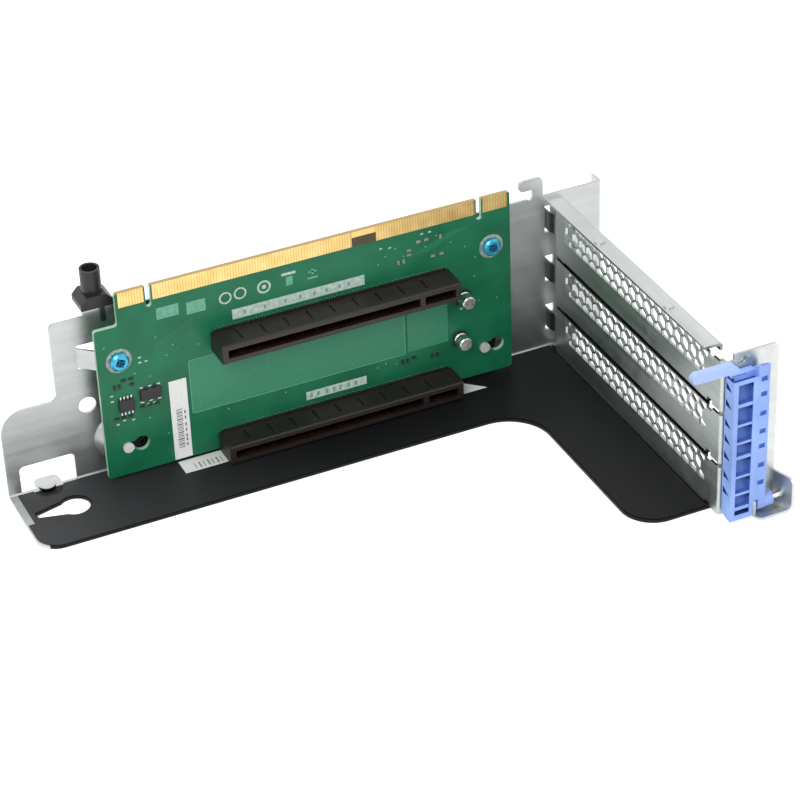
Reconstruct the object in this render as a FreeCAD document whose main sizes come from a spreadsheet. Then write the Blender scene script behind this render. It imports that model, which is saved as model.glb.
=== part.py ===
import FreeCAD, Part
import math
import os
import re

import Sketcher
from FreeCAD import Rotation, Vector

# Two-slot riser card on its folded steel carrier, millimetres.
# X runs along the card, Y away from its component side, Z up. The origin is on
# the carrier's underside, below the lower left corner of the card's front face.

doc = FreeCAD.newDocument("riser_card")
sheet = doc.addObject("Spreadsheet::Sheet", "Sizes")

SIZES = [
    # carrier sheet metal
    ("sheet_gauge", 1.0),
    ("bend_radius", 0.8),
    ("wall_left", -33.4),
    ("wall_face", 8.1),
    ("wall_low_top", 33.8),
    ("wall_step", -12.8),
    ("wall_top", 63.5),
    ("wing_end", 194.6),
    ("wing_foot", 3.0),
    ("wing_return", 6.0),
    ("shoulder_radius", 9.0),
    ("step_radius", 2.5),
    ("corner_radius", 2.0),
    ("floor_right", 179.4),
    ("base_front", -27.0),
    ("base_corner_radius", 8.0),
    ("arm_left", 146.6),
    ("arm_front", -106.6),
    ("arm_inner_radius", 16.0),
    ("arm_outer_radius", 12.0),
    # openings in the carrier
    ("window_left", -28.8),
    ("window_width", 19.8),
    ("window_top", 11.6),
    ("window_radius", 1.8),
    ("lug_left", -23.2),
    ("lug_width", 9.0),
    ("lug_end", 14.4),
    ("lug_corner", 2.5),
    ("lug_boss_place", -19.7),
    ("lug_boss_line", 8.2),
    ("lug_boss_radius", 2.9),
    ("lug_boss_height", 1.1),
    ("wall_hole_place", -2.4),
    ("wall_hole_height", 29.0),
    ("wall_hole_radius", 3.1),
    ("keyhole_place", -15.0),
    ("keyhole_line", -6.8),
    ("keyhole_radius", 5.25),
    ("keyhole_neck", 9.4),
    ("keyhole_tip", 2.4),
    ("keyhole_round", 1.0),
    ("keyhole_end", -28.5),
    # supports formed in the wall behind the card
    ("strap_width", 7.4),
    ("strap_slit", 1.1),
    ("strap_half_left", 11.9),
    ("strap_half_right", 9.0),
    ("strap_pad_half", 4.8),
    ("tap_radius", 1.5),
    ("boss_foot_radius", 9.2),
    ("boss_top_radius", 5.2),
    # ledge for the guide post, and the ear at the other end
    ("ledge_left", -0.6),
    ("ledge_width", 12.1),
    ("ledge_top", 66.0),
    ("ledge_end", 17.0),
    ("ledge_round", 4.5),
    ("ear_left", 161.6),
    ("ear_neck", 167.0),
    ("ear_right", 171.2),
    ("ear_low", 67.0),
    ("ear_top", 71.2),
    ("ear_round", 2.0),
    ("ear_relief", 1.0),
    # insulating film
    ("film_gauge", 0.25),
    ("film_inset", 0.5),
    ("film_back", 7.3),
    ("film_right", 173.0),
    ("bare_right", -30.6),
    ("bare_front", -11.0),
    ("patch_back_half", 5.6),
    ("patch_side_half", 4.0),
    ("patch_front_half", 2.3),
    ("patch_side", 3.6),
    ("patch_front", 2.2),
    # card
    ("card_floor", 2.5),
    ("card_length", 154.0),
    ("card_height", 71.4),
    ("card_gauge", 1.6),
    ("shoulder_width", 8.4),
    ("shoulder_height", 59.0),
    ("notch_width", 1.9),
    ("notch_depth", 8.0),
    ("notch_left", 20.0),
    ("notch_right", 142.0),
    ("card_corner", 1.0),
    ("finger_length", 5.7),
    ("finger_gauge", 0.05),
    ("finger_margin", 1.0),
    ("finger_inset", 0.0),
    ("bare_from", 94.0),
    ("bare_to", 103.0),
    # fixings of the card
    ("screw_left", 7.7),
    ("screw_left_height", 48.2),
    ("screw_right", 146.5),
    ("screw_right_height", 54.1),
    ("screw_hole", 1.8),
    ("screw_radius", 1.45),
    ("screw_head_radius", 3.3),
    ("screw_head_height", 1.9),
    ("screw_dome", 0.7),
    ("screw_recess_radius", 1.5),
    ("screw_recess", 1.1),
    ("screw_reach", 4.6),
    ("stud_left", 7.8),
    ("stud_right", 143.0),
    ("stud_height", 13.6),
    ("stud_neck", 1.2),
    ("stud_head", 1.9),
    ("stud_head_height", 1.0),
    ("stud_reach", 4.4),
    ("stud_run", 5.1),
    ("stud_eye", 2.8),
    ("stud_slot", 3.2),
    ("slide_clear", 0.1),
    # card connectors
    ("socket_left", 40.6),
    ("socket_length", 89.0),
    ("socket_width", 7.0),
    ("socket_depth", 10.9),
    ("socket_lower_height", 5.5),
    ("socket_spacing", 40.64),
    ("socket_slot", 3.2),
    ("socket_slot_depth", 8.6),
    ("socket_bevel", 0.4),
    ("socket_margin", 2.1),
    ("socket_short", 11.65),
    ("socket_key", 1.9),
    ("rib_first", 7.9),
    ("rib_pitch", 8.6),
    ("rib_count", 9),
    ("rib_width", 0.9),
    ("rib_length", 5.6),
    ("rib_depth", 0.5),
    ("contact_pitch", 1.0),
    ("contact_width", 0.5),
    ("contact_gauge", 0.7),
    ("contact_length", 8.0),
    ("contact_bow", 0.7),
    # parts soldered to the card
    ("can_radius", 2.45),
    ("can_height", 5.4),
    ("can_groove", 0.25),
    ("can_foot", 5.3),
    ("can_foot_height", 0.9),
    ("can_foot_cut", 1.0),
    ("can_upper", 135.2),
    ("can_upper_height", 36.6),
    ("can_lower", 133.5),
    ("can_lower_height", 20.1),
    ("driver_left", 6.0),
    ("driver_low", 28.3),
    ("driver_width", 5.3),
    ("driver_tall", 4.5),
    ("driver_gauge", 1.5),
    ("driver_lead", 0.45),
    ("driver_lead_pitch", 1.27),
    ("driver_lead_length", 1.4),
    ("driver_lead_height", 0.6),
    ("relay_left", 13.8),
    ("relay_low", 30.5),
    ("relay_width", 7.4),
    ("relay_tall", 4.4),
    ("relay_gauge", 1.4),
    ("relay_pad_width", 1.2),
    ("relay_pad_length", 0.9),
    ("relay_pad_height", 0.3),
    ("chip_length", 1.6),
    ("chip_width", 0.8),
    ("chip_height", 0.5),
    ("label_gauge", 0.1),
    ("label_left", 24.2),
    ("label_low", 2.9),
    ("label_width", 6.4),
    ("label_height", 31.8),
    ("strip_left", 25.2),
    ("strip_right", 140.4),
    ("strip_slant", 8.0),
    ("strip_front", -7.2),
    ("strip_back", 0.4),
    # slot frame
    ("frame_left", 172.4),
    ("frame_right", 179.3),
    ("frame_top", 61.6),
    ("frame_front", -111.5),
    ("flange_left", 174.6),
    ("flange_end", -102.6),
    ("frame_window_front", -103.2),
    ("frame_window_back", -2.0),
    ("frame_rung", 5.4),
    ("rung_left", 174.4),
    ("web_notch", 56.0),
    ("plate_foot", 1.5),
    ("plate_top", 62.0),
    ("dimple_place", 174.8),
    ("dimple_radius", 1.8),
    ("dimple_height", 0.6),
    ("dimple_front", -75.0),
    ("dimple_back", -27.0),
    ("lap_right", 190.8),
    ("lap_foot", 8.0),
    ("lap_top", 40.0),
    ("lap_rivet_place", 185.4),
    ("lap_rivet_low", 14.0),
    ("lap_rivet_high", 34.0),
    ("floor_rivet_place", 176.25),
    ("floor_rivet_front", -92.0),
    ("floor_rivet_back", -16.0),
    ("rivet_radius", 1.2),
    ("rivet_clear", 0.05),
    ("rivet_head_radius", 1.9),
    ("rivet_head_height", 0.5),
    ("cheek_root", 195.2),
    ("cheek_right", 197.8),
    ("cheek_front", -120.7),
    ("cheek_top", 12.8),
    ("cheek_bend", 2.0),
    ("link_foot", 3.6),
    ("cradle_left", 184.0),
    ("cradle_back", -112.8),
    # slot covers
    ("cover_face", 173.3),
    ("cover_gauge", 0.9),
    ("cover_width", 18.6),
    ("slot_pitch", 20.32),
    ("cover_lower_height", 10.6),
    ("cover_back", 2.4),
    ("cover_front", -111.6),
    ("cover_tab_end", 185.0),
    ("cover_bend", 1.0),
    ("relief_width", 1.4),
    ("relief_length", 3.2),
    ("relief_place", -105.2),
    ("tab_notch_radius", 2.0),
    ("tab_notch_place", 180.4),
    ("tongue_rise", 2.5),
    ("tongue_width", 7.2),
    ("tongue_set", 1.2),
    ("tongue_bend", 5.6),
    ("tongue_end", 12.0),
    ("tongue_slot_left", 171.8),
    ("tongue_slot_right", 174.3),
    ("tongue_slot_height", 10.7),
    ("tongue_slot_wide", 175.2),
    ("tongue_slot_wide_height", 3.4),
    ("hex_across", 4.4),
    ("hex_point", 1.27),
    ("hex_gap", 0.68),
    ("hex_edge", 4.75),
    ("hex_pitch", 5.08),
    ("hex_count", 19),
    ("hex_first", -7.1),
    ("hex_line", 3.8),
    # retention latch
    ("hinge_line", -115.6),
    ("hinge_height", 4.6),
    ("pin_radius", 1.0),
    ("pin_clear", 0.05),
    ("eye_clear", 0.02),
    ("pin_left", 182.2),
    ("pin_right", 196.6),
    ("latch_left", 174.5),
    ("latch_right", 188.0),
    ("latch_back", -112.8),
    ("latch_front", -118.4),
    ("latch_shelf", 56.5),
    ("latch_top", 61.2),
    ("latch_ridge", 2.6),
    ("rail_left", 183.8),
    ("toe_right", 183.0),
    ("toe_drop", 3.2),
    ("toe_heel", 2.7),
    ("toe_back", 0.5),
    ("knuckle_right", 191.4),
    ("knuckle_radius", 2.6),
    ("cradle_slot", 1.8),
    ("cradle_eye", 1.9),
    ("cradle_swing", 2.3),
    ("bay_left", 176.2),
    ("bay_right", 181.8),
    ("bay_low", 3.3),
    ("bay_high", 54.6),
    ("bay_depth", 3.8),
    ("rung_set", 0.4),
    ("rung_thick", 2.4),
    ("rung_thick_place", 5.8),
    ("rung_thin", 1.2),
    ("rung_low_place", 11.5),
    ("rung_high_place", 18.4),
    ("groove_left", 175.0),
    ("groove_front", -117.8),
    ("groove_depth", 1.2),
    ("notch_long", 3.5),
    ("notch_tall", 2.5),
    ("notch_depth_in", 1.4),
    ("notch_line", -116.9),
    ("notch_low_place", 10.9),
    ("notch_mid_place", 17.1),
    ("notch_high_place", 24.8),
    ("tooth_left", 184.8),
    ("tooth_width", 2.2),
    ("tooth_height", 1.2),
    ("tooth_depth", 0.6),
    ("tooth_low_place", 12.9),
    ("tooth_mid_place", 19.9),
    ("tooth_high_place", 27.4),
    ("thumb_end", 160.6),
    ("thumb_low", 57.8),
    ("thumb_top", 61.4),
    ("thumb_back", -113.2),
    ("thumb_front", -115.8),
    ("thumb_join", 184.0),
    ("thumb_round", 1.7),
    # guide post
    ("post_place", 4.6),
    ("post_line", 12.2),
    ("post_radius", 3.5),
    ("post_bore", 2.7),
    ("post_top", 78.9),
    ("post_bore_depth", 9.0),
    ("post_stem", 2.2),
    ("post_stem_foot", 62.6),
    ("collar_half", 5.8),
    ("collar_top_half", 3.6),
    ("collar_edge", 2.0),
    ("collar_height", 4.5),
    ("collar_front", 7.0),
    ("collar_back", 16.5),
    ("leg_left", 0.8),
    ("leg_width", 1.6),
    ("leg_foot", 60.5),
    ("fit_clear", 0.05),
]

for row, (alias, value) in enumerate(SIZES, start=1):
    sheet.set("A%d" % row, alias)
    sheet.set("B%d" % row, repr(value))
    sheet.setAlias("B%d" % row, alias)
doc.recompute()

NAMES = {alias for alias, value in SIZES}
NEAR = 0.02


def bound(text):
    """The same sum with every size read from the sheet."""
    return re.sub(r"[a-z_]+", lambda word: "Sizes." + word.group(0)
                  if word.group(0) in NAMES else word.group(0), str(text))


def size(text):
    """The present value of a sum of sizes."""
    values = {alias: sheet.get(alias) for alias in NAMES if alias in text}
    total = re.sub(r"[a-z_]+", lambda word: "(%r)" % float(values[word.group(0)])
                   if word.group(0) in values else word.group(0), text)
    return float(FreeCAD.Units.Quantity(total).Value)


def new_body(label):
    """An empty body whose label names its file."""
    body = doc.addObject("PartDesign::Body", label)
    body.Label = label
    return body


def place(item, **sums):
    """Binds the placement's base to sums of sizes."""
    for axis, text in sums.items():
        item.setExpression("Placement.Base." + axis, bound(text))


def new_sketch(body, role, height="0", across="0", up="0"):
    """A sketch on one of the body's own planes, its origin moved to the given place."""
    sketch = body.newObject("Sketcher::SketchObject", body.Label + "_sketch")
    plane = [item for item in body.Origin.OriginFeatures if item.Role == role][0]
    sketch.AttachmentSupport = (plane, [""])
    sketch.MapMode = "FlatFace"
    for axis, text in (("x", across), ("y", up), ("z", height)):
        sketch.setExpression("AttachmentOffset.Base." + axis, bound(text))
    return sketch


def hold(sketch, geometry, vertex, across, up):
    """Ties one vertex to the sketch's origin by two sums of sizes."""
    for kind, text in (("DistanceX", across), ("DistanceY", up)):
        number = sketch.addConstraint(
            Sketcher.Constraint(kind, -1, 1, geometry, vertex, size(text)))
        sketch.setExpression("Constraints[%d]" % number, bound(text))


def draw_outline(sketch, corners):
    """A closed run of straight lines through the corners."""
    points = [Vector(size(across), size(up), 0) for across, up in corners]
    first = sketch.GeometryCount
    count = len(points)
    for index in range(count):
        sketch.addGeometry(Part.LineSegment(points[index], points[(index + 1) % count]))
    for index in range(count):
        after = first + (index + 1) % count
        sketch.addConstraint(Sketcher.Constraint("Coincident", first + index, 2, after, 1))
        hold(sketch, first + index, 1, *corners[index])


def draw_box(sketch, left, low, right, high):
    """A rectangle between two corners."""
    draw_outline(sketch, [(left, low), (right, low), (right, high), (left, high)])


def draw_circle(sketch, across, up, radius):
    """A circle held by its centre and radius."""
    centre = Vector(size(across), size(up), 0)
    number = sketch.addGeometry(Part.Circle(centre, Vector(0, 0, 1), size(radius)))
    hold(sketch, number, 3, across, up)
    held = sketch.addConstraint(Sketcher.Constraint("Radius", number, size(radius)))
    sketch.setExpression("Constraints[%d]" % held, bound(radius))


def pad(body, sketch, length, reverse=False):
    """Adds the sketched area to the body."""
    feature = body.newObject("PartDesign::Pad", body.Label + "_pad")
    feature.Profile = sketch
    feature.Reversed = reverse
    feature.setExpression("Length", bound(length))
    doc.recompute()
    return feature


def pocket(body, sketch, length=None, reverse=False):
    """Cuts the sketched area out of the body, right through when no length is given."""
    before = body.Shape.Volume
    feature = body.newObject("PartDesign::Pocket", body.Label + "_pocket")
    feature.Profile = sketch
    feature.Reversed = reverse
    if length is None:
        feature.Type = "ThroughAll"
        feature.Midplane = True
    else:
        feature.setExpression("Length", bound(length))
    doc.recompute()
    if body.Shape.Volume >= before:
        raise RuntimeError("a pocket in %s cuts nothing" % body.Label)
    return feature


def revolve(body, sketch, axis, cut=False):
    """Turns a half section about one of the sketch's own axes."""
    kind = "Groove" if cut else "Revolution"
    feature = body.newObject("PartDesign::" + kind, body.Label + "_" + kind.lower())
    feature.Profile = sketch
    feature.ReferenceAxis = (sketch, [axis])
    feature.Angle = 360
    doc.recompute()
    return feature


def repeat(body, originals, role, length, count, reverse=False):
    """Repeats features along one of the body's own axes."""
    feature = body.newObject("PartDesign::LinearPattern", body.Label + "_pattern")
    feature.Originals = originals
    axis = [item for item in body.Origin.OriginFeatures if item.Role == role][0]
    feature.Direction = (axis, [""])
    feature.Reversed = reverse
    feature.setExpression("Length", bound(length))
    feature.setExpression("Occurrences", bound(count))
    body.Tip = feature
    doc.recompute()
    return feature


def dress(body, kind, chosen, radius):
    """Rounds or bevels the edges that the test picks."""
    base = body.Tip
    edges = ["Edge%d" % number for number, edge in enumerate(base.Shape.Edges, start=1)
             if chosen(edge)]
    if not edges:
        raise RuntimeError("no edge to dress in " + body.Label)
    feature = body.newObject("PartDesign::" + kind, body.Label + "_" + kind.lower())
    feature.Base = (base, edges)
    feature.setExpression("Radius" if kind == "Fillet" else "Size", bound(radius))
    body.Tip = feature
    doc.recompute()
    return feature


def runs_along(edge, axis, **at):
    """True for a straight edge along an axis that passes through the given place."""
    if edge.Curve.TypeId != "Part::GeomLine":
        return False
    ends = [vertex.Point for vertex in edge.Vertexes]
    along = ends[1] - ends[0]
    others = [name for name in "xyz" if name != axis]
    if any(abs(getattr(along, name)) > 1e-6 for name in others):
        return False
    return all(abs(getattr(edge.CenterOfMass, name) - value) < NEAR for name, value in at.items())


def runs_aslant(edge, height):
    """True for a level edge of the ear's foot that runs askew at this height."""
    ends = [vertex.Point for vertex in edge.Vertexes]
    if len(ends) < 2 or any(abs(end.z - size(height)) > NEAR for end in ends):
        return False
    along = ends[1] - ends[0]
    return (abs(along.x) > size("sheet_gauge") and abs(along.y) > size("cheek_bend") * 2
            and min(end.x for end in ends) > size("rung_left"))


def group(label, solids):
    """Separate like pieces kept under one name, already in place."""
    item = doc.addObject("Part::Feature", label)
    item.Label = label
    item.Shape = Part.makeCompound(solids)
    item.Placement = FreeCAD.Placement()
    return item


def block(left, front, low, width, depth, height):
    """A plain block from its lowest corner."""
    return Part.makeBox(width, depth, height, Vector(left, front, low))


# ---------------------------------------------------------------- carrier
# One folded sheet: a wall behind the card, and a floor under it with an arm
# that runs forward below the slot covers.

def build_carrier():
    body = new_body("main_bracket")
    floor = new_sketch(body, "XY_Plane")
    draw_outline(floor, [
        ("wall_left", "wall_face + sheet_gauge"),
        ("wall_left", "base_front"),
        ("arm_left", "base_front"),
        ("arm_left", "arm_front"),
        ("floor_right", "arm_front"),
        ("floor_right", "wall_face + sheet_gauge"),
    ])
    pad(body, floor, "sheet_gauge")
    wall = new_sketch(body, "XZ_Plane", "-wall_face - sheet_gauge")
    draw_outline(wall, [
        ("wall_left", "0"),
        ("floor_right", "0"),
        ("floor_right", "wing_foot"),
        ("wing_end", "wing_foot"),
        ("wing_end", "wall_top"),
        ("ear_right", "wall_top"),
        ("ear_right", "ear_top"),
        ("ear_left", "ear_top"),
        ("ear_left", "ear_low"),
        ("ear_neck", "ear_low"),
        ("ear_neck", "wall_top"),
        ("ledge_left + ledge_width", "wall_top"),
        ("ledge_left + ledge_width", "ledge_top"),
        ("ledge_left", "ledge_top"),
        ("ledge_left", "wall_top"),
        ("wall_step", "wall_top"),
        ("wall_step", "wall_low_top"),
        ("wall_left", "wall_low_top"),
    ])
    pad(body, wall, "sheet_gauge")
    face = size("wall_face")
    back = size("wall_face + sheet_gauge")
    gauge = size("sheet_gauge")
    left = size("wall_left")
    dress(body, "Fillet", lambda e: runs_along(e, "x", y=face, z=gauge), "bend_radius")
    dress(body, "Fillet", lambda e: runs_along(e, "x", y=back, z=0), "bend_radius + sheet_gauge")
    dress(body, "Fillet", lambda e: runs_along(e, "z", x=left, y=size("base_front")),
          "base_corner_radius")
    dress(body, "Fillet", lambda e: runs_along(e, "z", x=size("arm_left"), y=size("base_front")),
          "arm_inner_radius")
    dress(body, "Fillet", lambda e: runs_along(e, "z", x=size("arm_left"), y=size("arm_front")),
          "arm_outer_radius")
    dress(body, "Fillet", lambda e: runs_along(e, "y", x=left, z=size("wall_low_top")),
          "shoulder_radius")
    dress(body, "Fillet", lambda e: runs_along(e, "y", x=size("wall_step"), z=size("wall_low_top")),
          "step_radius")
    dress(body, "Fillet", lambda e: runs_along(e, "y", x=size("wall_step"), z=size("wall_top")),
          "corner_radius")
    dress(body, "Fillet", lambda e: runs_along(e, "y", x=size("ear_left")), "ear_round")
    dress(body, "Fillet", lambda e: runs_along(e, "y", x=size("ear_right"), z=size("ear_top")),
          "corner_radius")

    ledge = new_sketch(body, "XY_Plane", "ledge_top - sheet_gauge")
    draw_box(ledge, "ledge_left", "wall_face + sheet_gauge / 2",
             "ledge_left + ledge_width", "ledge_end")
    pad(body, ledge, "sheet_gauge")
    dress(body, "Fillet", lambda e: runs_along(e, "z", y=size("ledge_end")), "ledge_round")
    dress(body, "Fillet", lambda e: runs_along(e, "x", y=face, z=size("ledge_top")),
          "bend_radius + sheet_gauge / 2")
    seat = new_sketch(body, "XY_Plane", "ledge_top", "post_place", "post_line")
    draw_circle(seat, "0", "0", "post_stem + fit_clear")
    pocket(body, seat, "sheet_gauge * 2")

    fold = new_sketch(body, "YZ_Plane", "wing_end - sheet_gauge")
    draw_box(fold, "wall_face + sheet_gauge / 2", "wing_foot", "wall_face + wing_return", "wall_top")
    pad(body, fold, "sheet_gauge")
    dress(body, "Fillet", lambda e: runs_along(e, "z", x=size("wing_end"), y=face),
          "bend_radius + sheet_gauge / 2")

    relief = new_sketch(body, "XZ_Plane", "0", "ear_neck - ear_relief", "wall_top + ear_relief / 2")
    draw_circle(relief, "0", "0", "ear_relief")
    pocket(body, relief)
    window = new_sketch(body, "XZ_Plane", "-wall_face + sheet_gauge")
    draw_box(window, "window_left", "sheet_gauge", "window_left + window_width", "window_top")
    pocket(body, window, "sheet_gauge * 3")
    dress(body, "Fillet", lambda e: runs_along(e, "y", z=size("window_top")), "window_radius")
    lug = new_sketch(body, "XY_Plane")
    draw_box(lug, "lug_left", "wall_face - sheet_gauge", "lug_left + lug_width", "lug_end")
    pad(body, lug, "sheet_gauge")
    dress(body, "Fillet", lambda e: runs_along(e, "z", y=size("lug_end")), "lug_corner")
    button = new_sketch(body, "XY_Plane", "sheet_gauge", "lug_boss_place", "lug_boss_line")
    draw_circle(button, "0", "0", "lug_boss_radius")
    pad(body, button, "lug_boss_height")
    hole = new_sketch(body, "XZ_Plane", "0", "wall_hole_place", "wall_hole_height")
    draw_circle(hole, "0", "0", "wall_hole_radius")
    pocket(body, hole)

    eye = new_sketch(body, "XY_Plane", "0", "keyhole_place", "keyhole_line")
    draw_circle(eye, "0", "0", "keyhole_radius")
    pocket(body, eye)
    neck = new_sketch(body, "XY_Plane", "0", "0", "keyhole_line")
    draw_outline(neck, [
        ("keyhole_end", "-keyhole_tip / 2"),
        ("keyhole_place", "-keyhole_neck / 2"),
        ("keyhole_place", "keyhole_neck / 2"),
        ("keyhole_end", "keyhole_tip / 2"),
    ])
    pocket(body, neck)
    dress(body, "Fillet", lambda e: runs_along(e, "z", x=size("keyhole_end")), "keyhole_round")

    for middle, height, half in (("screw_left", "screw_left_height", "strap_half_left"),
                                 ("screw_right", "screw_right_height", "strap_half_right")):
        opening = new_sketch(body, "XZ_Plane", "0", middle, height)
        draw_box(opening, "-" + half, "-strap_width / 2 - strap_slit",
                 half, "strap_width / 2 + strap_slit")
        pocket(body, opening)
        strap = new_sketch(body, "XY_Plane", height + " - strap_width / 2", middle)
        draw_outline(strap, [
            ("-" + half, "wall_face"),
            ("-strap_pad_half", "card_gauge"),
            ("strap_pad_half", "card_gauge"),
            (half, "wall_face"),
            (half, "wall_face + sheet_gauge"),
            ("strap_pad_half - sheet_gauge / 3", "card_gauge + sheet_gauge"),
            ("sheet_gauge / 3 - strap_pad_half", "card_gauge + sheet_gauge"),
            ("-" + half, "wall_face + sheet_gauge"),
        ])
        pad(body, strap, "strap_width")
        tap = new_sketch(body, "XZ_Plane", "0", middle, height)
        draw_circle(tap, "0", "0", "tap_radius")
        pocket(body, tap)

    for middle in ("stud_left", "stud_right"):
        dish = new_sketch(body, "YZ_Plane", middle, "0", "stud_height")
        draw_outline(dish, [
            ("card_gauge", "0"),
            ("card_gauge", "boss_top_radius"),
            ("wall_face", "boss_foot_radius"),
            ("wall_face + sheet_gauge", "boss_foot_radius"),
            ("wall_face + sheet_gauge", "0"),
        ])
        revolve(body, dish, "H_Axis")
        hollow = new_sketch(body, "YZ_Plane", middle, "0", "stud_height")
        draw_outline(hollow, [
            ("card_gauge + sheet_gauge", "0"),
            ("card_gauge + sheet_gauge", "boss_top_radius - sheet_gauge"),
            ("wall_face + sheet_gauge", "boss_foot_radius - sheet_gauge / 2"),
            ("wall_face + sheet_gauge * 2", "boss_foot_radius - sheet_gauge / 2"),
            ("wall_face + sheet_gauge * 2", "0"),
        ])
        revolve(body, hollow, "H_Axis", cut=True)
        bore = new_sketch(body, "XZ_Plane", "0", middle, "stud_height")
        draw_circle(bore, "0", "0", "stud_neck + fit_clear")
        pocket(body, bore)

    slots = []
    slot = new_sketch(body, "XZ_Plane", "0", "0", "cover_lower_height + tongue_rise")
    draw_box(slot, "tongue_slot_left", "-tongue_slot_height / 2",
             "tongue_slot_right", "tongue_slot_height / 2")
    slots.append(pocket(body, slot))
    repeat(body, slots, "Z_Axis", "slot_pitch * 2", "3")
    step = new_sketch(body, "XZ_Plane", "0", "0",
                      "cover_lower_height + tongue_rise + tongue_slot_height / 2")
    draw_box(step, "tongue_slot_left + sheet_gauge", "-tongue_slot_wide_height",
             "tongue_slot_wide", "0")
    repeat(body, [pocket(body, step)], "Z_Axis", "slot_pitch", "2")

    for height in ("lap_rivet_low", "lap_rivet_high"):
        rivet = new_sketch(body, "XZ_Plane", "0", "lap_rivet_place", height)
        draw_circle(rivet, "0", "0", "rivet_radius + rivet_clear")
        pocket(body, rivet, "wall_face + sheet_gauge * 2")
    for line in ("floor_rivet_front", "floor_rivet_back"):
        rivet = new_sketch(body, "XY_Plane", "0", "floor_rivet_place", line)
        draw_circle(rivet, "0", "0", "rivet_radius + rivet_clear")
        pocket(body, rivet, "sheet_gauge", reverse=True)
    return body


# ---------------------------------------------------------------- film
# A thin insulating sheet glued on the floor, and a paper strip glued on it.

def build_film():
    body = new_body("insulator_film")
    area = new_sketch(body, "XY_Plane", "sheet_gauge")
    draw_outline(area, [
        ("wall_left + film_inset", "film_back"),
        ("wall_left + film_inset", "base_front + film_inset"),
        ("arm_left + film_inset", "base_front + film_inset"),
        ("arm_left + film_inset", "arm_front + film_inset"),
        ("film_right", "arm_front + film_inset"),
        ("film_right", "film_back"),
    ])
    pad(body, area, "film_gauge")
    dress(body, "Fillet", lambda e: runs_along(e, "z", x=size("wall_left + film_inset"),
          y=size("base_front + film_inset")), "base_corner_radius")
    dress(body, "Fillet", lambda e: runs_along(e, "z", x=size("arm_left + film_inset"),
          y=size("base_front + film_inset")), "arm_inner_radius")
    dress(body, "Fillet", lambda e: runs_along(e, "z", x=size("arm_left + film_inset"),
          y=size("arm_front + film_inset")), "arm_outer_radius")
    strip = new_sketch(body, "XY_Plane")
    draw_box(strip, "wall_left - film_inset", "bare_front", "bare_right", "film_back + film_inset")
    pocket(body, strip)
    patch = new_sketch(body, "XY_Plane", "0", "lug_boss_place")
    draw_outline(patch, [
        ("-patch_back_half", "film_back + film_inset"),
        ("-patch_side_half", "patch_side"),
        ("-patch_front_half", "patch_front"),
        ("patch_front_half", "patch_front"),
        ("patch_side_half", "patch_side"),
        ("patch_back_half", "film_back + film_inset"),
    ])
    pocket(body, patch)
    eye = new_sketch(body, "XY_Plane", "0", "keyhole_place", "keyhole_line")
    draw_circle(eye, "0", "0", "keyhole_radius + film_inset")
    pocket(body, eye)
    neck = new_sketch(body, "XY_Plane", "0", "0", "keyhole_line")
    draw_outline(neck, [
        ("keyhole_end - film_inset", "-keyhole_tip / 2 - film_inset"),
        ("keyhole_place", "-keyhole_neck / 2 - film_inset"),
        ("keyhole_place", "keyhole_neck / 2 + film_inset"),
        ("keyhole_end - film_inset", "keyhole_tip / 2 + film_inset"),
    ])
    pocket(body, neck)
    return body


def build_strip_label():
    body = new_body("strip_label")
    area = new_sketch(body, "XY_Plane", "sheet_gauge + film_gauge")
    draw_outline(area, [
        ("strip_left", "strip_front"),
        ("strip_right", "strip_front"),
        ("strip_right - strip_slant", "strip_back"),
        ("strip_left", "strip_back"),
    ])
    pad(body, area, "label_gauge")
    return body


# ---------------------------------------------------------------- card
# The printed board with its edge contacts, and what fixes it to the wall.

def build_card():
    body = new_body("riser_board")
    outline = new_sketch(body, "XZ_Plane", "-card_gauge", "0", "card_floor")
    draw_outline(outline, [
        ("0", "0"),
        ("card_length", "0"),
        ("card_length", "card_height"),
        ("notch_right + notch_width / 2", "card_height"),
        ("notch_right + notch_width / 2", "card_height - notch_depth"),
        ("notch_right - notch_width / 2", "card_height - notch_depth"),
        ("notch_right - notch_width / 2", "card_height"),
        ("notch_left + notch_width / 2", "card_height"),
        ("notch_left + notch_width / 2", "card_height - notch_depth"),
        ("notch_left - notch_width / 2", "card_height - notch_depth"),
        ("notch_left - notch_width / 2", "card_height"),
        ("shoulder_width", "card_height"),
        ("shoulder_width", "shoulder_height"),
        ("0", "shoulder_height"),
    ])
    pad(body, outline, "card_gauge")
    foot = size("card_floor + card_height - notch_depth")
    top = size("card_floor + card_height")
    dress(body, "Fillet", lambda e: runs_along(e, "y", z=foot), "notch_width / 2 - fit_clear")
    dress(body, "Fillet", lambda e: runs_along(e, "y", x=0) or runs_along(
        e, "y", x=size("card_length")), "card_corner")
    dress(body, "Fillet", lambda e: runs_along(e, "y", x=size("shoulder_width")), "card_corner")
    for place_x, height in (("screw_left", "screw_left_height"),
                            ("screw_right", "screw_right_height")):
        hole = new_sketch(body, "XZ_Plane", "0", place_x, height)
        draw_circle(hole, "0", "0", "screw_hole")
        pocket(body, hole)
    for place_x in ("stud_left", "stud_right"):
        slot = new_sketch(body, "XZ_Plane", "0", place_x, "stud_height")
        draw_box(slot, "-stud_slot / 2", "-stud_slot / 2", "stud_run", "stud_slot / 2")
        pocket(body, slot)
        dress(body, "Fillet", lambda e: runs_along(e, "y", x=size(place_x + " - stud_slot / 2")),
              "stud_slot / 2 - fit_clear")
        eye = new_sketch(body, "XZ_Plane", "0", place_x + " + stud_run", "stud_height")
        draw_circle(eye, "0", "0", "stud_eye")
        pocket(body, eye)
    return body


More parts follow.
